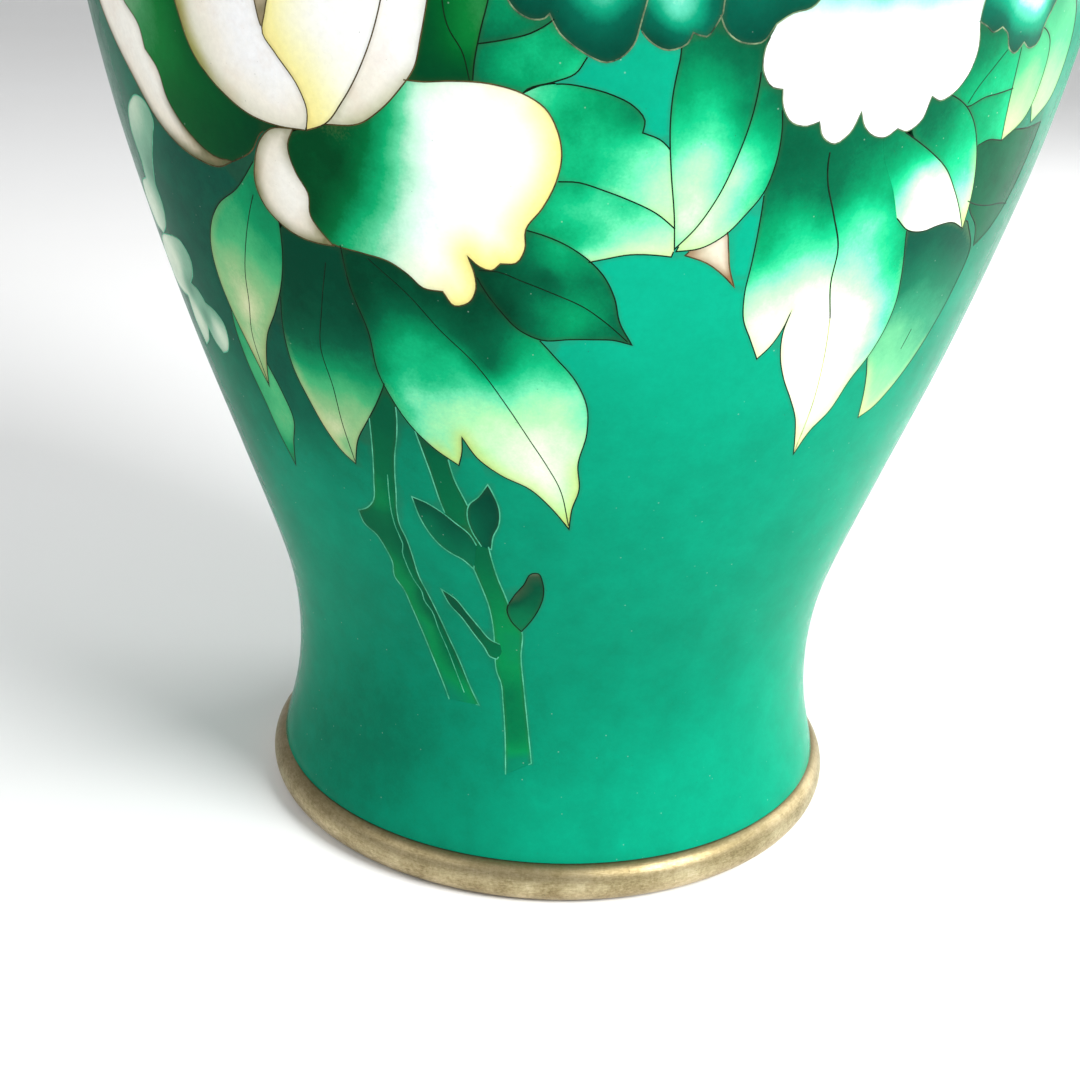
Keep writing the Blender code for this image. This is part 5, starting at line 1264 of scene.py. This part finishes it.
def build_linings():
    """Counter-enamel inside the body and under the foot."""
    look = lining_enamel("counter_enamel", "0A6E66", "16938A")
    low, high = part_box("enamel_interior")
    thick, deep = 0.6 * MM, 3.2 * MM  # deep: from the wall's outside to the lining
    edge, bend, pinhole = 0.3 * MM, 2.9 * MM, 0.05 * MM
    bend_height = low.z + 3.5 * MM
    heights = np.linspace(low.z + edge, high.z, 90)
    outside = list(zip(radius(heights) - deep, heights))
    heights = np.linspace(high.z, bend_height, 90)
    lined = list(zip(radius(heights) - deep - thick, heights))
    lined += arc((lined[-1][0] - bend, bend_height), (bend, bend), -8, -90, 8)
    cup = outside + lined + [(pinhole, low.z + thick), (pinhole, low.z), (outside[0][0] - edge, low.z)]
    turned("lining_inside", "enamel_interior", cup, look, 180)
    low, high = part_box("enamel_underside")
    disc = [(pinhole, low.z), (high.x - 0.5 * MM, low.z), (high.x - 0.1 * MM, low.z + 0.15 * MM),
            (high.x, high.z), (pinhole, high.z)]
    turned("lining_underneath", "enamel_underside", disc, look, 180)


def dress_copper():
    """The copper lies under the enamel, so its CAD solids stay and only get their material."""
    copper = spun_copper()
    for node in ("body_copper", "base_plate"):
        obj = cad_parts[node]
        obj.data.materials.clear()
        obj.data.materials.append(copper)


# ---------------------------------------------------------------- stage


def add_camera():
    """Close to the lower front, looking down on it and turned a little, so the mouth is out of view."""
    place = (0, -0.2613, 0.14835)
    pitch, roll, yaw = math.radians(22.175), math.radians(2.505), math.radians(-0.669)
    forward = Vector((math.sin(yaw) * math.cos(pitch), math.cos(yaw) * math.cos(pitch), -math.sin(pitch)))
    level = Vector((math.cos(yaw), -math.sin(yaw), 0))
    upward = level.cross(forward)
    right = level * math.cos(roll) + upward * math.sin(roll)
    up = -level * math.sin(roll) + upward * math.cos(roll)
    data = bpy.data.cameras.new("camera")
    data.sensor_width = 36
    data.lens = 53.33
    data.clip_start = 0.01
    camera = bpy.data.objects.new("camera", data)
    turn = Matrix((right, up, -forward)).transposed().to_4x4()
    camera.matrix_world = Matrix.Translation(place) @ turn
    bpy.context.scene.collection.objects.link(camera)
    bpy.context.scene.camera = camera


def add_light(name, place, target, size, power):
    """A rectangular area light of this size (m) and power (W), turned towards a target."""
    data = bpy.data.lights.new(name, "AREA")
    data.shape = "RECTANGLE"
    data.size, data.size_y = size
    data.energy = power
    obj = bpy.data.objects.new(name, data)
    obj.location = place
    obj.rotation_euler = (Vector(target) - Vector(place)).to_track_quat("-Z", "Y").to_euler()
    bpy.context.scene.collection.objects.link(obj)


def add_stage():
    """A pale floor that bends up to a wall far behind, an even sky and three soft lights."""
    verts = []
    reach, back, rise, bend = 3.0, 2.2, 2.4, 0.6
    path = [(-3.0, 0.0)] + [(back - bend + bend * math.sin(a), bend - bend * math.cos(a))
                            for a in np.linspace(0, math.pi / 2, 13)] + [(back, rise)]
    for y, z in path:
        verts += [(-reach, y, z), (reach, y, z)]
    faces = [(2 * i, 2 * i + 1, 2 * i + 3, 2 * i + 2) for i in range(len(path) - 1)]
    mesh = bpy.data.meshes.new("floor")
    mesh.from_pydata(verts, [], faces)
    mesh.shade_smooth()
    mesh.materials.append(painted_floor("pale_floor", 0.86))
    floor = bpy.data.objects.new("floor", mesh)
    bpy.context.scene.collection.objects.link(floor)
    world = bpy.data.worlds.new("studio")
    world.use_nodes = True
    sky = world.node_tree.nodes["Background"]
    sky.inputs["Color"].default_value = (0.97, 0.985, 1, 1)
    sky.inputs["Strength"].default_value = 0.5
    bpy.context.scene.world = world
    add_light("key", (0.75, -0.55, 0.75), (0, 0, 0.08), (0.5, 0.5), 19)
    add_light("side", (0.7, 0.35, 0.35), (0, 0, 0.1), (0.5, 0.7), 6)
    add_light("fill", (-0.75, -0.55, 0.8), (0, 0, 0.12), (0.6, 0.6), 3)
    bpy.context.scene.view_settings.view_transform = "Standard"


enamels = {}
wire_looks = {"dark": wire_metal("wire_tarnished", "041209", "0E2A17", 0.0),
              "umber": wire_metal("wire_umber", "2A2412", "5C5030", 0.0),
              "gold": wire_metal("wire_gold", "24382A", "7A8E6C", 0.0),
              "straw": wire_metal("wire_straw", "7C8452", "C6CC8E", 0.0),
              "pale": wire_metal("wire_rubbed", "2A8A66", "5CBE9A", 0.1)}
add_camera()
build_inlays()
build_veins()
build_rings()
build_linings()
dress_copper()
add_stage()
